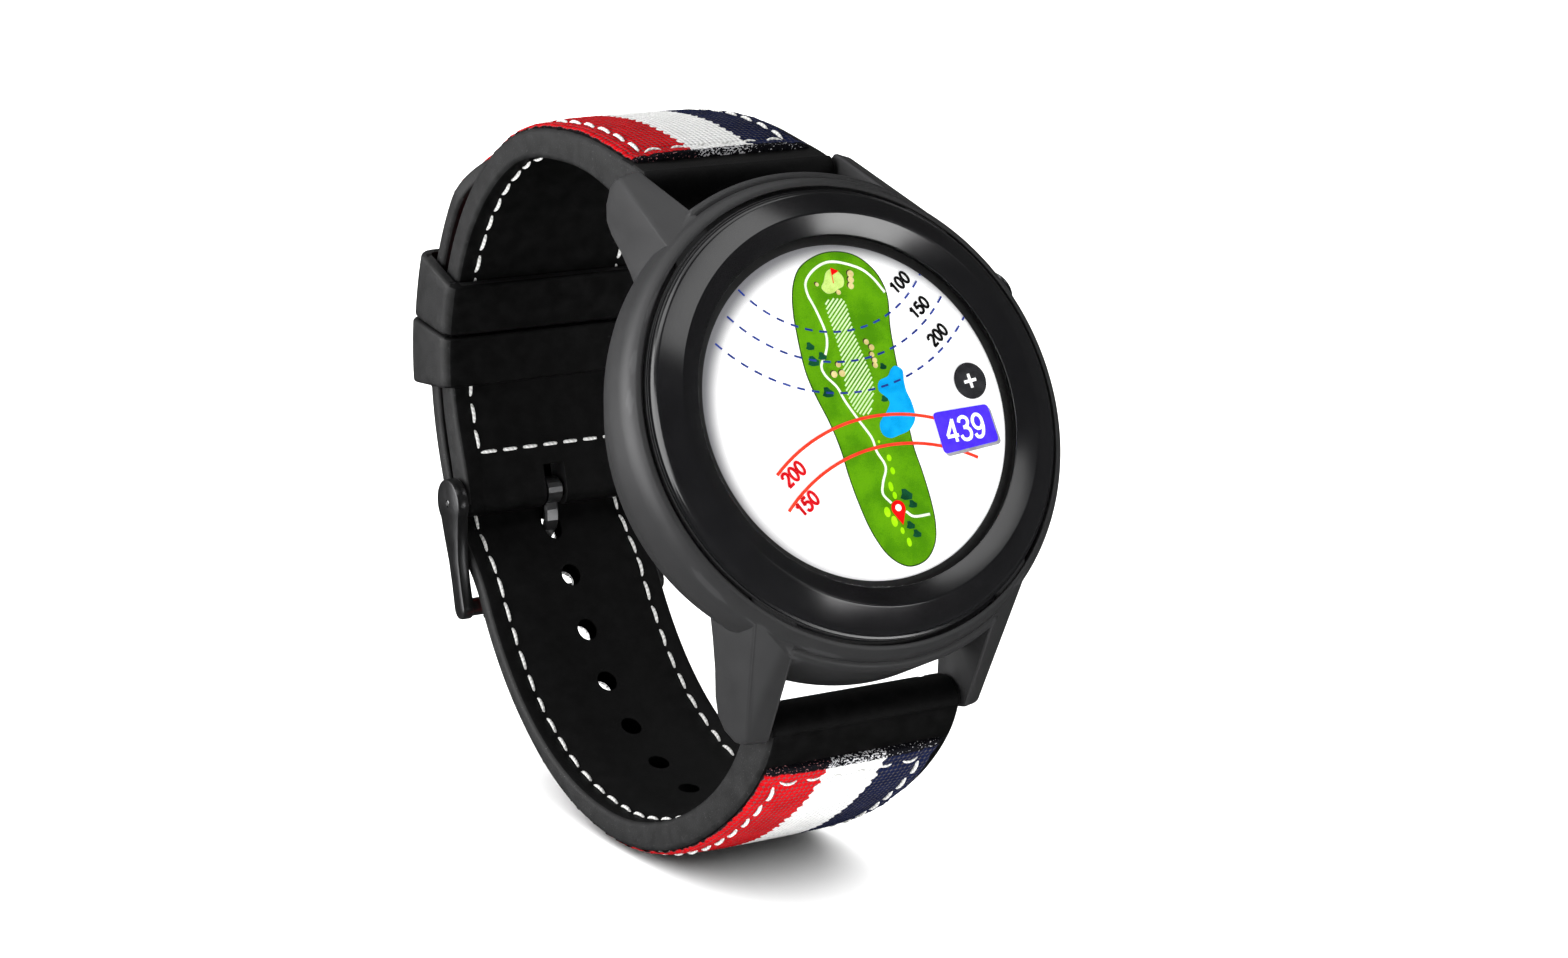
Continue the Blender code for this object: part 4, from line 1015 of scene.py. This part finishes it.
def build_front():
    turned("bezel_ring_gloss", [
        (17.5, 0.30), (17.52, 0.40, 0.04), (19.42, 1.31, 0.05), (19.56, 1.32, 0.06), (21.74, 0.2, 0.12),
        (21.98, -0.1, 0.1), (22.1, -0.45, 0.06), (22.35, -0.5, 0.04), (22.35, -0.75), (18.75, -0.75),
        (18.75, 0.3),
    ], CASE, BEZEL, 256, slot="bezel_gloss", replaces=("bezel_ring",), sharp=24.0)
    turned("glass_lens", [
        (0.0, 0.2), (17.4, 0.2, 0.1), (17.6, 0.1, 0.05), (18.3, 0.1, 0.05), (18.4, 0.0), (18.4, -0.35),
        (0.0, -0.35),
    ], CASE, GLASS, 160, slot="clear_glass", replaces=("cover_glass",))
    turned("dial_surround", [
        (16.7, -0.38, 0.03), (17.6, -0.38), (17.6, -0.48), (16.7, -0.48),
    ], CASE, MASK, 160, slot="black_moulding", replaces=("display_mask",))
    turned("button_cap_metal", [
        (0.0, 18.25), (0.75, 18.25), (0.75, 19.0), (0.55, 19.0), (0.55, 19.35), (0.75, 19.35), (0.75, 24.65),
        (2.0, 24.65, 0.06), (2.1, 24.8, 0.06), (2.1, 25.72, 0.1), (1.82, 26.05, 0.18), (1.3, 26.05, 0.12),
        (1.15, 25.95, 0.1), (0.0, 26.1),
    ], BUTTON_PLACE, BUTTON, 64, body="button", slot="steel", replaces=("button_cap",))


build_straps()
build_keeper("keeper_fixed_loop", (-4.4, 8.0), 35.1, "watch", "keeper_fixed")
build_keeper("keeper_free_loop", (8.5, 21.5), 34.6, "free_keeper", "keeper_free")
build_buckle()
build_case()
build_front()


# The map on the dial -------------------------------------------------------------------------


LAYER = 0.011  # each colour lies this much above the one under it
DIAL_LEVEL = -0.53
ART_SHIFT = (-0.42, -0.12)


def through(points, steps):
    """Points on a Catmull-Rom curve, from the second of the given points to the last but one."""
    out = []
    for a, b, c, d in zip(points, points[1:], points[2:], points[3:]):
        for t in np.arange(steps) / steps:
            out.append(0.5 * (2 * b + (c - a) * t + (2 * a - 5 * b + 4 * c - d) * t * t
                              + (3 * b - a - 3 * c + d) * t * t * t))
    return out


def smooth_outline(points, steps=6):
    """A closed curve through the points."""
    points = [np.array(p, float) for p in points]
    return through(points[-1:] + points + points[:2], steps)


def smooth_line(points):
    """An open curve through the points."""
    points = [np.array(p, float) for p in points]
    ends = [2 * points[0] - points[1]] + points + [2 * points[-1] - points[-2]]
    return through(ends, 6) + [points[-1]]


def band(points, width):
    """The outline of a line drawn with a width."""
    points = [np.array(p, float) for p in points]
    ways = np.gradient(np.array(points), axis=0)
    normals = np.stack([-ways[:, 1], ways[:, 0]], 1) / np.hypot(*ways.T)[:, None]
    left = [p + n * width / 2 for p, n in zip(points, normals)]
    right = [p - n * width / 2 for p, n in zip(points, normals)]
    return left + right[::-1]


def arc(centre, radius, start, end, step=2.5):
    turns = np.radians(np.linspace(start, end, max(3, int(abs(end - start) / step) + 1)))
    return [(centre[0] + radius * math.cos(t), centre[1] + radius * math.sin(t)) for t in turns]


def disc(centre, radius, squash=1.0, count=28):
    tall = radius * squash
    return [(centre[0] + radius * math.cos(t), centre[1] + tall * math.sin(t)) for t in circle(count)]


def printed(name, outlines, layer, material):
    """Flat shapes on the dial, a hundredth of a millimetre thick."""
    vertices, faces = [], []
    low = DIAL_LEVEL + layer * LAYER
    for outline in outlines:
        shape = [(x + ART_SHIFT[0], y + ART_SHIFT[1]) for x, y in outline]
        rows = [[(x, y, height) for x, y in shape] for height in (low, low + LAYER * 0.8)]
        more, more_faces = skin(rows)
        faces += [tuple(len(vertices) + i for i in f) for f in more_faces]
        vertices += more
    return piece(name, vertices, faces, CASE, material, slot="display_white", sharp=20.0)


def oval(x, y, wide, tall, start=0.0, end=360.0):
    return [(x + wide * math.cos(t), y + tall * math.sin(t)) for t in np.radians(np.linspace(start, end, 25))]


DIGITS = {
    "0": [oval(0.28, 0.5, 0.24, 0.49)],
    "1": [[(0.34, 0.0), (0.34, 1.0)], [(0.10, 0.74), (0.24, 0.83), (0.34, 0.99)]],
    "2": [smooth_line([(0.05, 0.72), (0.10, 0.91), (0.28, 1.0), (0.47, 0.92), (0.52, 0.73), (0.42, 0.50),
                       (0.20, 0.24), (0.06, 0.03)]), [(0.02, 0.03), (0.55, 0.03)]],
    "3": [smooth_line([(0.05, 0.79), (0.12, 0.94), (0.28, 1.0), (0.45, 0.92), (0.49, 0.76), (0.40, 0.59),
                       (0.22, 0.54)]),
          smooth_line([(0.22, 0.54), (0.44, 0.48), (0.53, 0.28), (0.45, 0.07), (0.27, 0.0), (0.10, 0.06),
                       (0.03, 0.23)])],
    "4": [[(0.43, 0.0), (0.43, 1.0)], [(0.45, 0.98), (0.03, 0.30)], [(0.01, 0.27), (0.58, 0.27)]],
    "5": [[(0.51, 0.96), (0.13, 0.96)], [(0.14, 0.98), (0.07, 0.50)],
          smooth_line([(0.07, 0.52), (0.26, 0.62), (0.46, 0.53), (0.53, 0.31), (0.45, 0.08), (0.26, 0.0),
                       (0.10, 0.06), (0.03, 0.22)])],
    "9": [oval(0.28, 0.68, 0.23, 0.31),
          smooth_line([(0.51, 0.66), (0.50, 0.38), (0.40, 0.10), (0.24, 0.0), (0.10, 0.05), (0.05, 0.18)])],
}
DIGIT_STEP = 0.68


def number(text, x, y, angle, height, weight, squeeze=1.0):
    """The outlines of a number: its digits' strokes, drawn from a corner at an angle."""
    cos, sin = math.cos(math.radians(angle)), math.sin(math.radians(angle))
    outlines = []
    for place, digit in enumerate(text):
        for stroke in DIGITS[digit]:
            spots = [((sx + place * DIGIT_STEP) * height * squeeze, sy * height) for sx, sy in stroke]
            outlines.append([(x + px * cos - py * sin, y + px * sin + py * cos) for px, py in band(spots, weight)])
    return outlines


def inks():
    """The display's colours, each with its darker and its lighter tone."""
    tones = {
        "map_grass": ((0.058, 0.215, 0.0015), (0.110, 0.330, 0.003), 3.0),
        "map_edge": ((0.012, 0.035, 0.004), (0.030, 0.060, 0.010)),
        "map_cart_path": ((0.70, 0.76, 0.60), (0.86, 0.90, 0.78)),
        "map_green": ((0.42, 0.60, 0.12), (0.56, 0.72, 0.22)),
        "map_fairway": ((0.50, 0.68, 0.34), (0.62, 0.78, 0.46)),
        "map_sand": ((0.50, 0.40, 0.15), (0.68, 0.58, 0.27)),
        "map_soil": ((0.035, 0.030, 0.008), (0.06, 0.05, 0.015)),
        "map_trees": ((0.002, 0.040, 0.014), (0.006, 0.075, 0.028)),
        "map_water": ((0.0, 0.27, 0.62), (0.004, 0.36, 0.76)),
        "map_tees": ((0.28, 0.66, 0.0), (0.42, 0.82, 0.01)),
        "ring_ink": ((0.012, 0.028, 0.19), (0.025, 0.050, 0.27)),
        "number_ink": ((0.003, 0.003, 0.003), (0.006, 0.006, 0.006)),
        "arc_ink": ((0.70, 0.035, 0.015), (0.82, 0.055, 0.025)),
        "red_number_ink": ((0.52, 0.004, 0.008), (0.62, 0.008, 0.014)),
        "panel_violet": ((0.055, 0.022, 0.72), (0.075, 0.034, 0.84)),
        "panel_shadow": ((0.24, 0.24, 0.26), (0.34, 0.34, 0.36)),
        "button_grey": ((0.018, 0.018, 0.020), (0.027, 0.027, 0.030)),
        "bright_white": ((0.90, 0.90, 0.90), (0.98, 0.98, 0.98)),
        "pin_red": ((0.66, 0.002, 0.002), (0.78, 0.005, 0.005)),
    }
    return {name: ink(name, *tone) for name, tone in tones.items()}


def build_map(ink_of):
    """The golf hole: its grass, path, fairway, pits, trees, water and tees."""
    hole = [(2.1, 16.0), (0.0, 15.8), (-2.1, 14.8), (-3.3, 13.1), (-3.9, 10.8), (-4.1, 8.1), (-4.1, 4.8),
            (-3.6, 2.2), (-2.7, -0.8), (-2.2, -3.5), (-2.0, -6.0), (-1.6, -8.8), (-0.9, -11.7), (0.3, -14.1),
            (2.1, -15.4), (4.2, -15.1), (5.6, -13.7), (6.2, -11.8), (6.3, -9.5), (6.1, -6.6), (5.8, -4.2),
            (5.8, -1.6), (6.0, 1.7), (6.1, 4.9), (6.3, 8.0), (6.8, 10.9), (6.5, 12.8), (5.6, 14.3),
            (4.1, 15.5)]
    outline = smooth_outline(hole)
    centre = np.mean(outline, axis=0)
    ways = np.roll(outline, -1, 0) - np.roll(outline, 1, 0)
    normal = np.stack([ways[:, 1], -ways[:, 0]], 1) / np.hypot(*ways.T)[:, None]
    sign = np.sign(np.sum(normal * (np.array(outline) - centre), 1).mean())
    border = [p + sign * n * 0.13 for p, n in zip(outline, normal)]
    printed("map_outline", [border], 1, ink_of["map_edge"])
    printed("map_hole", [outline], 2, ink_of["map_grass"])

    path = [(6.7, 11.5), (5.6, 13.2), (4.2, 14.3), (1.6, 15.1), (-0.3, 14.7), (-1.8, 13.5), (-2.0, 12.2),
            (-1.5, 10.6), (-1.0, 8.4), (-1.1, 7.1), (-1.6, 6.0), (-2.3, 5.0), (-2.1, 4.0), (-1.1, 2.7),
            (-0.6, 1.3), (0.4, -0.7), (1.4, -2.6), (1.6, -4.0), (2.2, -5.6), (1.5, -7.1), (1.2, -8.2),
            (1.9, -9.2)]
    spur = [(3.3, -10.2), (4.1, -10.8), (5.9, -10.8)]
    printed("map_path", [band(smooth_line(way), 0.26) for way in (path, spur)], 3, ink_of["map_cart_path"])

    fairway = [(-0.3, 10.8), (0.3, 11.4), (1.2, 11.4), (2.0, 10.9), (2.2, 7.6), (3.0, 3.3), (2.6, 1.2),
               (1.9, -0.1), (1.0, -0.3), (0.2, 0.4), (-0.2, 2.4), (0.1, 5.0), (0.0, 7.6)]
    mown = smooth_outline(fairway, 4)
    bars = [pair for shift in np.arange(-4.0, 12.5, 0.46) for pair in scan_bar(mown, 0.9, shift)]
    printed("map_fairway_bars", [band(list(pair), 0.17) for pair in bars], 3, ink_of["map_fairway"])

    pits = [disc((x, y), radius) for x, y, radius in (
        (3.3, 13.7, 0.36), (3.2, 13.1, 0.34), (3.05, 12.5, 0.33), (1.5, 12.0, 0.26), (-0.7, 13.0, 0.2),
        (-0.4, 4.9, 0.28), (-1.1, 4.0, 0.34), (-0.2, 4.0, 0.34), (3.3, 6.8, 0.28), (3.75, 6.2, 0.3),
        (3.6, 5.5, 0.26), (3.75, 4.9, 0.28), (3.7, 4.4, 0.28))]
    printed("map_pit_shade", [[(x - 0.11, y + 0.10) for x, y in pit] for pit in pits], 3, ink_of["map_soil"])
    printed("map_pits", pits, 4, ink_of["map_sand"])
    lobes = [(0.6, 14.1), (1.3, 14.4), (1.9, 14.1), (2.4, 13.4), (2.2, 12.6), (1.5, 12.3), (0.9, 12.0),
             (0.2, 12.0), (-0.3, 12.6), (0.1, 13.2)]
    printed("map_putting_green", [smooth_outline(lobes)], 5, ink_of["map_green"])
    pennant, pole = [(1.25, 14.5), (2.05, 14.1), (1.2, 13.75)], band([(1.22, 14.5), (1.15, 12.95)], 0.09)
    printed("map_flag", [pennant, pole], 6, ink_of["pin_red"])
    leaves = 9
    spread = 1.0 + 0.28 * np.cos(np.arange(leaves) * 2.4)
    turns = np.linspace(0, 2 * math.pi, leaves, endpoint=False)
    trees = [[(x + size * k * math.cos(t), y + size * k * math.sin(t)) for k, t in zip(spread, turns)]
             for x, y, size in ((-3.1, 7.0, 0.42), (-3.1, 5.5, 0.55), (-2.0, 5.9, 0.42), (-2.3, 2.3, 0.55),
                                (4.5, 4.2, 0.34), (3.8, 1.0, 0.34), (3.7, -8.6, 0.6), (4.2, -9.6, 0.42),
                                (3.4, -11.6, 0.42), (3.9, -12.5, 0.42))]
    printed("map_tree_clumps", trees, 5, ink_of["map_trees"])
    water = [(5.9, 4.1), (6.6, 3.6), (6.5, 2.6), (6.5, 1.5), (6.8, 0.3), (6.8, -1.2), (5.9, -2.3),
             (4.6, -2.7), (3.5, -2.9), (2.7, -2.4), (2.7, -1.3), (3.7, -0.3), (4.3, 0.5), (4.1, 1.1),
             (3.4, 1.9), (3.7, 2.8), (4.8, 3.2), (5.3, 3.8)]
    printed("map_pond", [smooth_outline(water)], 5, ink_of["map_water"])
    tees = [disc((x, y), wide, tall) for x, y, wide, tall in (
        (2.1, -3.1, 0.14, 1.1), (2.8, -4.8, 0.26, 1.3), (2.85, -6.1, 0.26, 1.4), (2.25, -7.6, 0.26, 1.9),
        (2.45, -8.5, 0.24, 1.5), (1.2, -10.0, 0.34, 1.5), (1.75, -11.0, 0.34, 1.6), (2.4, -12.0, 0.22, 1.5),
        (2.85, -13.2, 0.26, 1.7))]
    printed("map_tee_spots", tees, 5, ink_of["map_tees"])
    marker = [(2.62, -11.5)] + arc((2.5, -9.8), 0.80, -32.0, 212.0, 12.0)
    printed("map_marker", [marker], 9, ink_of["pin_red"])
    printed("map_marker_eye", [disc((2.5, -9.75), 0.34)], 10, ink_of["bright_white"])


def build_dial():
    """The lit ground, the map, and over them the distance rings, arcs, numbers and controls."""
    radii = (0.0, 6.0, 12.0, 15.0, 17.5)
    vertices, faces = lathe([(r, DIAL_LEVEL) for r in radii] + [(17.5, -3.0), (0.0, -3.0)], 160)
    piece("dial_ground", vertices, faces, CASE, dial_white(), slot="display_white",
          replaces=("display_panel",), uvs=[(x, y) for x, y, _ in vertices])
    ink_of = inks()
    build_map(ink_of)

    rings = []
    for radius, start, end in ((13.1, 217.0, 321.5), (16.1, 220.0, 321.5), (19.2, 222.0, 320.5)):
        dash = math.degrees(0.85 / radius)
        for angle in np.arange(start, end, dash * 1.85):
            rings.append(band(arc((1.0, 21.2), radius, angle, min(angle + dash, end), 1.0), 0.20))
    printed("dial_distance_rings", rings, 6, ink_of["ring_ink"])
    arcs = [arc((2.75, -20.7), 20.15, 128.8, 70.0), arc((3.5, -22.8), 19.25, 132.5, 61.0)]
    printed("dial_carry_arcs", [band(line_of, 0.32) for line_of in arcs], 7, ink_of["arc_ink"])
    ranges = number("100", 7.95, 11.1, 34.5, 1.25, 0.29) + number("150", 9.5, 8.4, 34.0, 1.25, 0.29)
    printed("dial_numbers", ranges + number("200", 10.9, 5.45, 35.0, 1.25, 0.29), 7, ink_of["number_ink"])
    carries = number("200", -8.85, -6.4, 31.5, 1.4, 0.32) + number("150", -8.15, -9.4, 31.0, 1.4, 0.32)
    printed("dial_carry_numbers", carries, 7, ink_of["red_number_ink"])

    panel = rounded_quad([(8.8, -1.0), (15.3, -0.8), (15.7, -4.6), (9.1, -5.2)], 0.5)
    printed("dial_panel_shadow", [[(x + 0.22, y - 0.3) for x, y in panel]], 8, ink_of["panel_shadow"])
    printed("dial_panel", [panel], 9, ink_of["panel_violet"])
    printed("dial_panel_number", number("439", 9.9, -4.2, 3.5, 2.3, 0.35, 1.03), 10, ink_of["bright_white"])
    zoom = np.array((14.0, 1.7))
    printed("dial_zoom_button", [disc(zoom, 1.85, 1.0, 48)], 8, ink_of["button_grey"])
    reaches = [np.array((math.cos(t), math.sin(t))) * 0.72 for t in np.radians((7.0, 97.0))]
    sign = [band([zoom - reach, zoom + reach], 0.32) for reach in reaches]
    printed("dial_zoom_sign", sign, 9, ink_of["bright_white"])


def rounded_quad(corners, radius, steps=6):
    count = len(corners)
    out = []
    for i in range(count):
        before, here, after = (Vector(corners[(i + k) % count]) for k in (-1, 0, 1))
        start = here + (before - here).normalized() * radius
        end = here + (after - here).normalized() * radius
        for t in np.linspace(0.0, 1.0, steps + 1):
            out.append(tuple(start * (1 - t) ** 2 + here * 2 * t * (1 - t) + end * t * t))
    return out


def scan_bar(outline, slope, shift):
    """The stretches of the line y = slope x + shift that lie inside an outline."""
    crossings = []
    count = len(outline)
    for i in range(count):
        (x0, y0), (x1, y1) = outline[i], outline[(i + 1) % count]
        a, b = y0 - slope * x0 - shift, y1 - slope * x1 - shift
        if (a < 0.0) != (b < 0.0):
            t = a / (a - b)
            crossings.append((x0 + (x1 - x0) * t, y0 + (y1 - y0) * t))
    crossings.sort()
    return [(a, b) for a, b in zip(crossings[::2], crossings[1::2]) if math.dist(a, b) > 0.15]


build_dial()


# Frame pieces that keep their own shape ------------------------------------------------------


KEPT = {
    "lens_gasket": SEAL, "display_bracket": STEEL, "main_board": BOARD, "processor_shield": STEEL,
    "gps_antenna": CERAMIC, "battery": FOIL, "motor_can": STEEL, "motor_weight": STEEL, "tact_switch": MASK,
    "switch_plunger": GOLD, "button_clip": STEEL, "button_seal": SEAL, "button_spring": STEEL,
    "rear_cover": BLACK, "rear_gasket": SEAL, "buckle_tongue": BUCKLE,
}
for node, obj in NODES.items():
    chosen = KEPT.get(node)
    if node.startswith("charge_contact"):
        chosen = GOLD
    elif node.startswith(("rear_screw", "upper_bar", "lower_bar", "buckle_bar")):
        chosen = STEEL
    if chosen and not obj.hide_render:
        for slot in obj.material_slots:
            slot.material = chosen


# Room, light and camera ----------------------------------------------------------------------


VIEW_AZIMUTH, VIEW_ELEVATION, VIEW_DISTANCE = -31.37, 13.22, 350.0
VIEW_WIDTH = 150.6244  # millimetres of the dial's plane that the picture takes in
DIAL_RIGHT, DIAL_UP = 7.2238, 6.6090  # the dial's place off the picture's middle


def build_room():
    look = Look("studio_floor", 0.9)
    cloud = look.noise(60.0, 2.0)
    look.set("Base Color", look.mix(cloud, (0.90, 0.90, 0.90), (0.92, 0.92, 0.92)))
    wide, deep, rise, bend = 2.4, 1.7, 1.6, 0.5
    profile = [(-1.6, -0.0004), (deep, -0.0004)]
    for turn in np.radians(np.linspace(-80.0, 0.0, 9)):
        profile.append((deep + bend * math.cos(turn), bend + bend * math.sin(turn)))
    profile.append((deep + bend, rise))
    rows = [[(x, y, z) for y, z in profile] for x in (-wide, wide)]
    vertices = rows[0] + rows[1]
    count = len(profile)
    faces = [(i, i + 1, count + i + 1, count + i) for i in range(count - 1)]
    floor = piece("studio_floor", vertices, faces, Matrix.Identity(4), look.material, body=None, sharp=0.0,
                  outward=False)
    floor.rotation_euler = (0.0, 0.0, math.radians(-31.4))
    floor.visible_glossy = False
    return floor


def light_group(name, floor, state):
    """The pieces that a light reaches: the floor alone, or all but the floor."""
    group = bpy.data.collections.new(name)
    group.objects.link(floor)
    group.collection_objects[0].light_linking.link_state = state
    return group


def softbox(name, azimuth, elevation, size, power, group, distance=0.7, along=None):
    """A soft light aimed at the watch from a compass direction, as the camera counts them."""
    light = bpy.data.lights.new(name, "AREA")
    light.shape = "RECTANGLE"
    light.size, light.size_y = size
    light.energy = power
    obj = bpy.data.objects.new(name, light)
    way = compass(azimuth, elevation)
    wide = Vector(along) if along else UPRIGHT.cross(way)
    wide = (wide - way * wide.dot(way)).normalized()
    axes = Matrix((wide, way.cross(wide), way)).transposed()
    obj.matrix_world = Matrix.Translation(WATCH_MIDDLE + way * distance) @ axes.to_4x4()
    obj.visible_camera = False
    obj.light_linking.receiver_collection = group
    bpy.context.scene.collection.objects.link(obj)
    return obj


def compass(azimuth, elevation):
    """The direction of a light or the camera from the watch, in degrees."""
    a, e = math.radians(azimuth), math.radians(elevation)
    return Vector((math.sin(a) * math.cos(e), -math.cos(a) * math.cos(e), math.sin(e)))


UPRIGHT, WATCH_MIDDLE = Vector((0.0, 0.0, 1.0)), Vector((0.0, 0.0, 0.035))
OVERHEAD = {"azimuth": -31.0, "elevation": 76.0, "size": (4.4, 4.4), "distance": 1.7}


def build_light(floor):
    room = light_group("floor_only", floor, "INCLUDE")
    watch = light_group("all_but_floor", floor, "EXCLUDE")
    wash = softbox("floor_wash", power=205.0, group=room, **OVERHEAD)
    softbox("floor_fill", power=30.0, group=room, **OVERHEAD).data.use_shadow = False
    shade = bpy.data.collections.new("shade_on_floor")
    for name in ("strap_long_rubber", "strap_long_canvas"):
        shade.objects.link(bpy.data.objects[name])
    wash.light_linking.blocker_collection = shade
    softbox("left_wall", -104.0, 8.0, (0.9, 0.6), 11.0, watch)
    softbox("top_strip", 4.0, 71.0, (0.62, 0.2), 1.3, watch, along=(0.79, 0.59, 0.19))
    softbox("back_high", 172.0, 62.0, (0.6, 0.3), 0.8, watch)
    softbox("left_high", -118.0, 48.0, (0.35, 0.35), 1.5, watch)
    softbox("low_front", 20.0, -4.0, (0.3, 0.2), 2.2, watch)
    softbox("right_glint", 62.0, 40.0, (0.12, 0.12), 0.25, watch)
    world = bpy.data.worlds.new("studio")
    world.use_nodes = True
    background = world.node_tree.nodes["Background"]
    background.inputs[0].default_value = (1.0, 1.0, 1.0, 1.0)
    background.inputs[1].default_value = 0.07
    bpy.context.scene.world = world


def build_camera():
    back = compass(VIEW_AZIMUTH, VIEW_ELEVATION)
    right = Vector((-back.y, back.x, 0.0)).normalized()
    up = back.cross(right)
    camera = bpy.data.cameras.new("camera")
    camera.sensor_width = 36.0
    camera.lens = VIEW_DISTANCE / VIEW_WIDTH * camera.sensor_width
    camera.clip_start, camera.clip_end = 0.01, 10.0
    obj = bpy.data.objects.new("camera", camera)
    place = DIAL + (back * VIEW_DISTANCE - right * DIAL_RIGHT - up * DIAL_UP) * MM
    axes = Matrix((right, up, back)).transposed()
    obj.matrix_world = Matrix.Translation(place) @ axes.to_4x4()
    bpy.context.scene.collection.objects.link(obj)
    bpy.context.scene.camera = obj


build_light(build_room())
build_camera()
bpy.context.scene.view_settings.view_transform = "Standard"


def corners(box):
    return [[float(n) for n in corner] for corner in box]
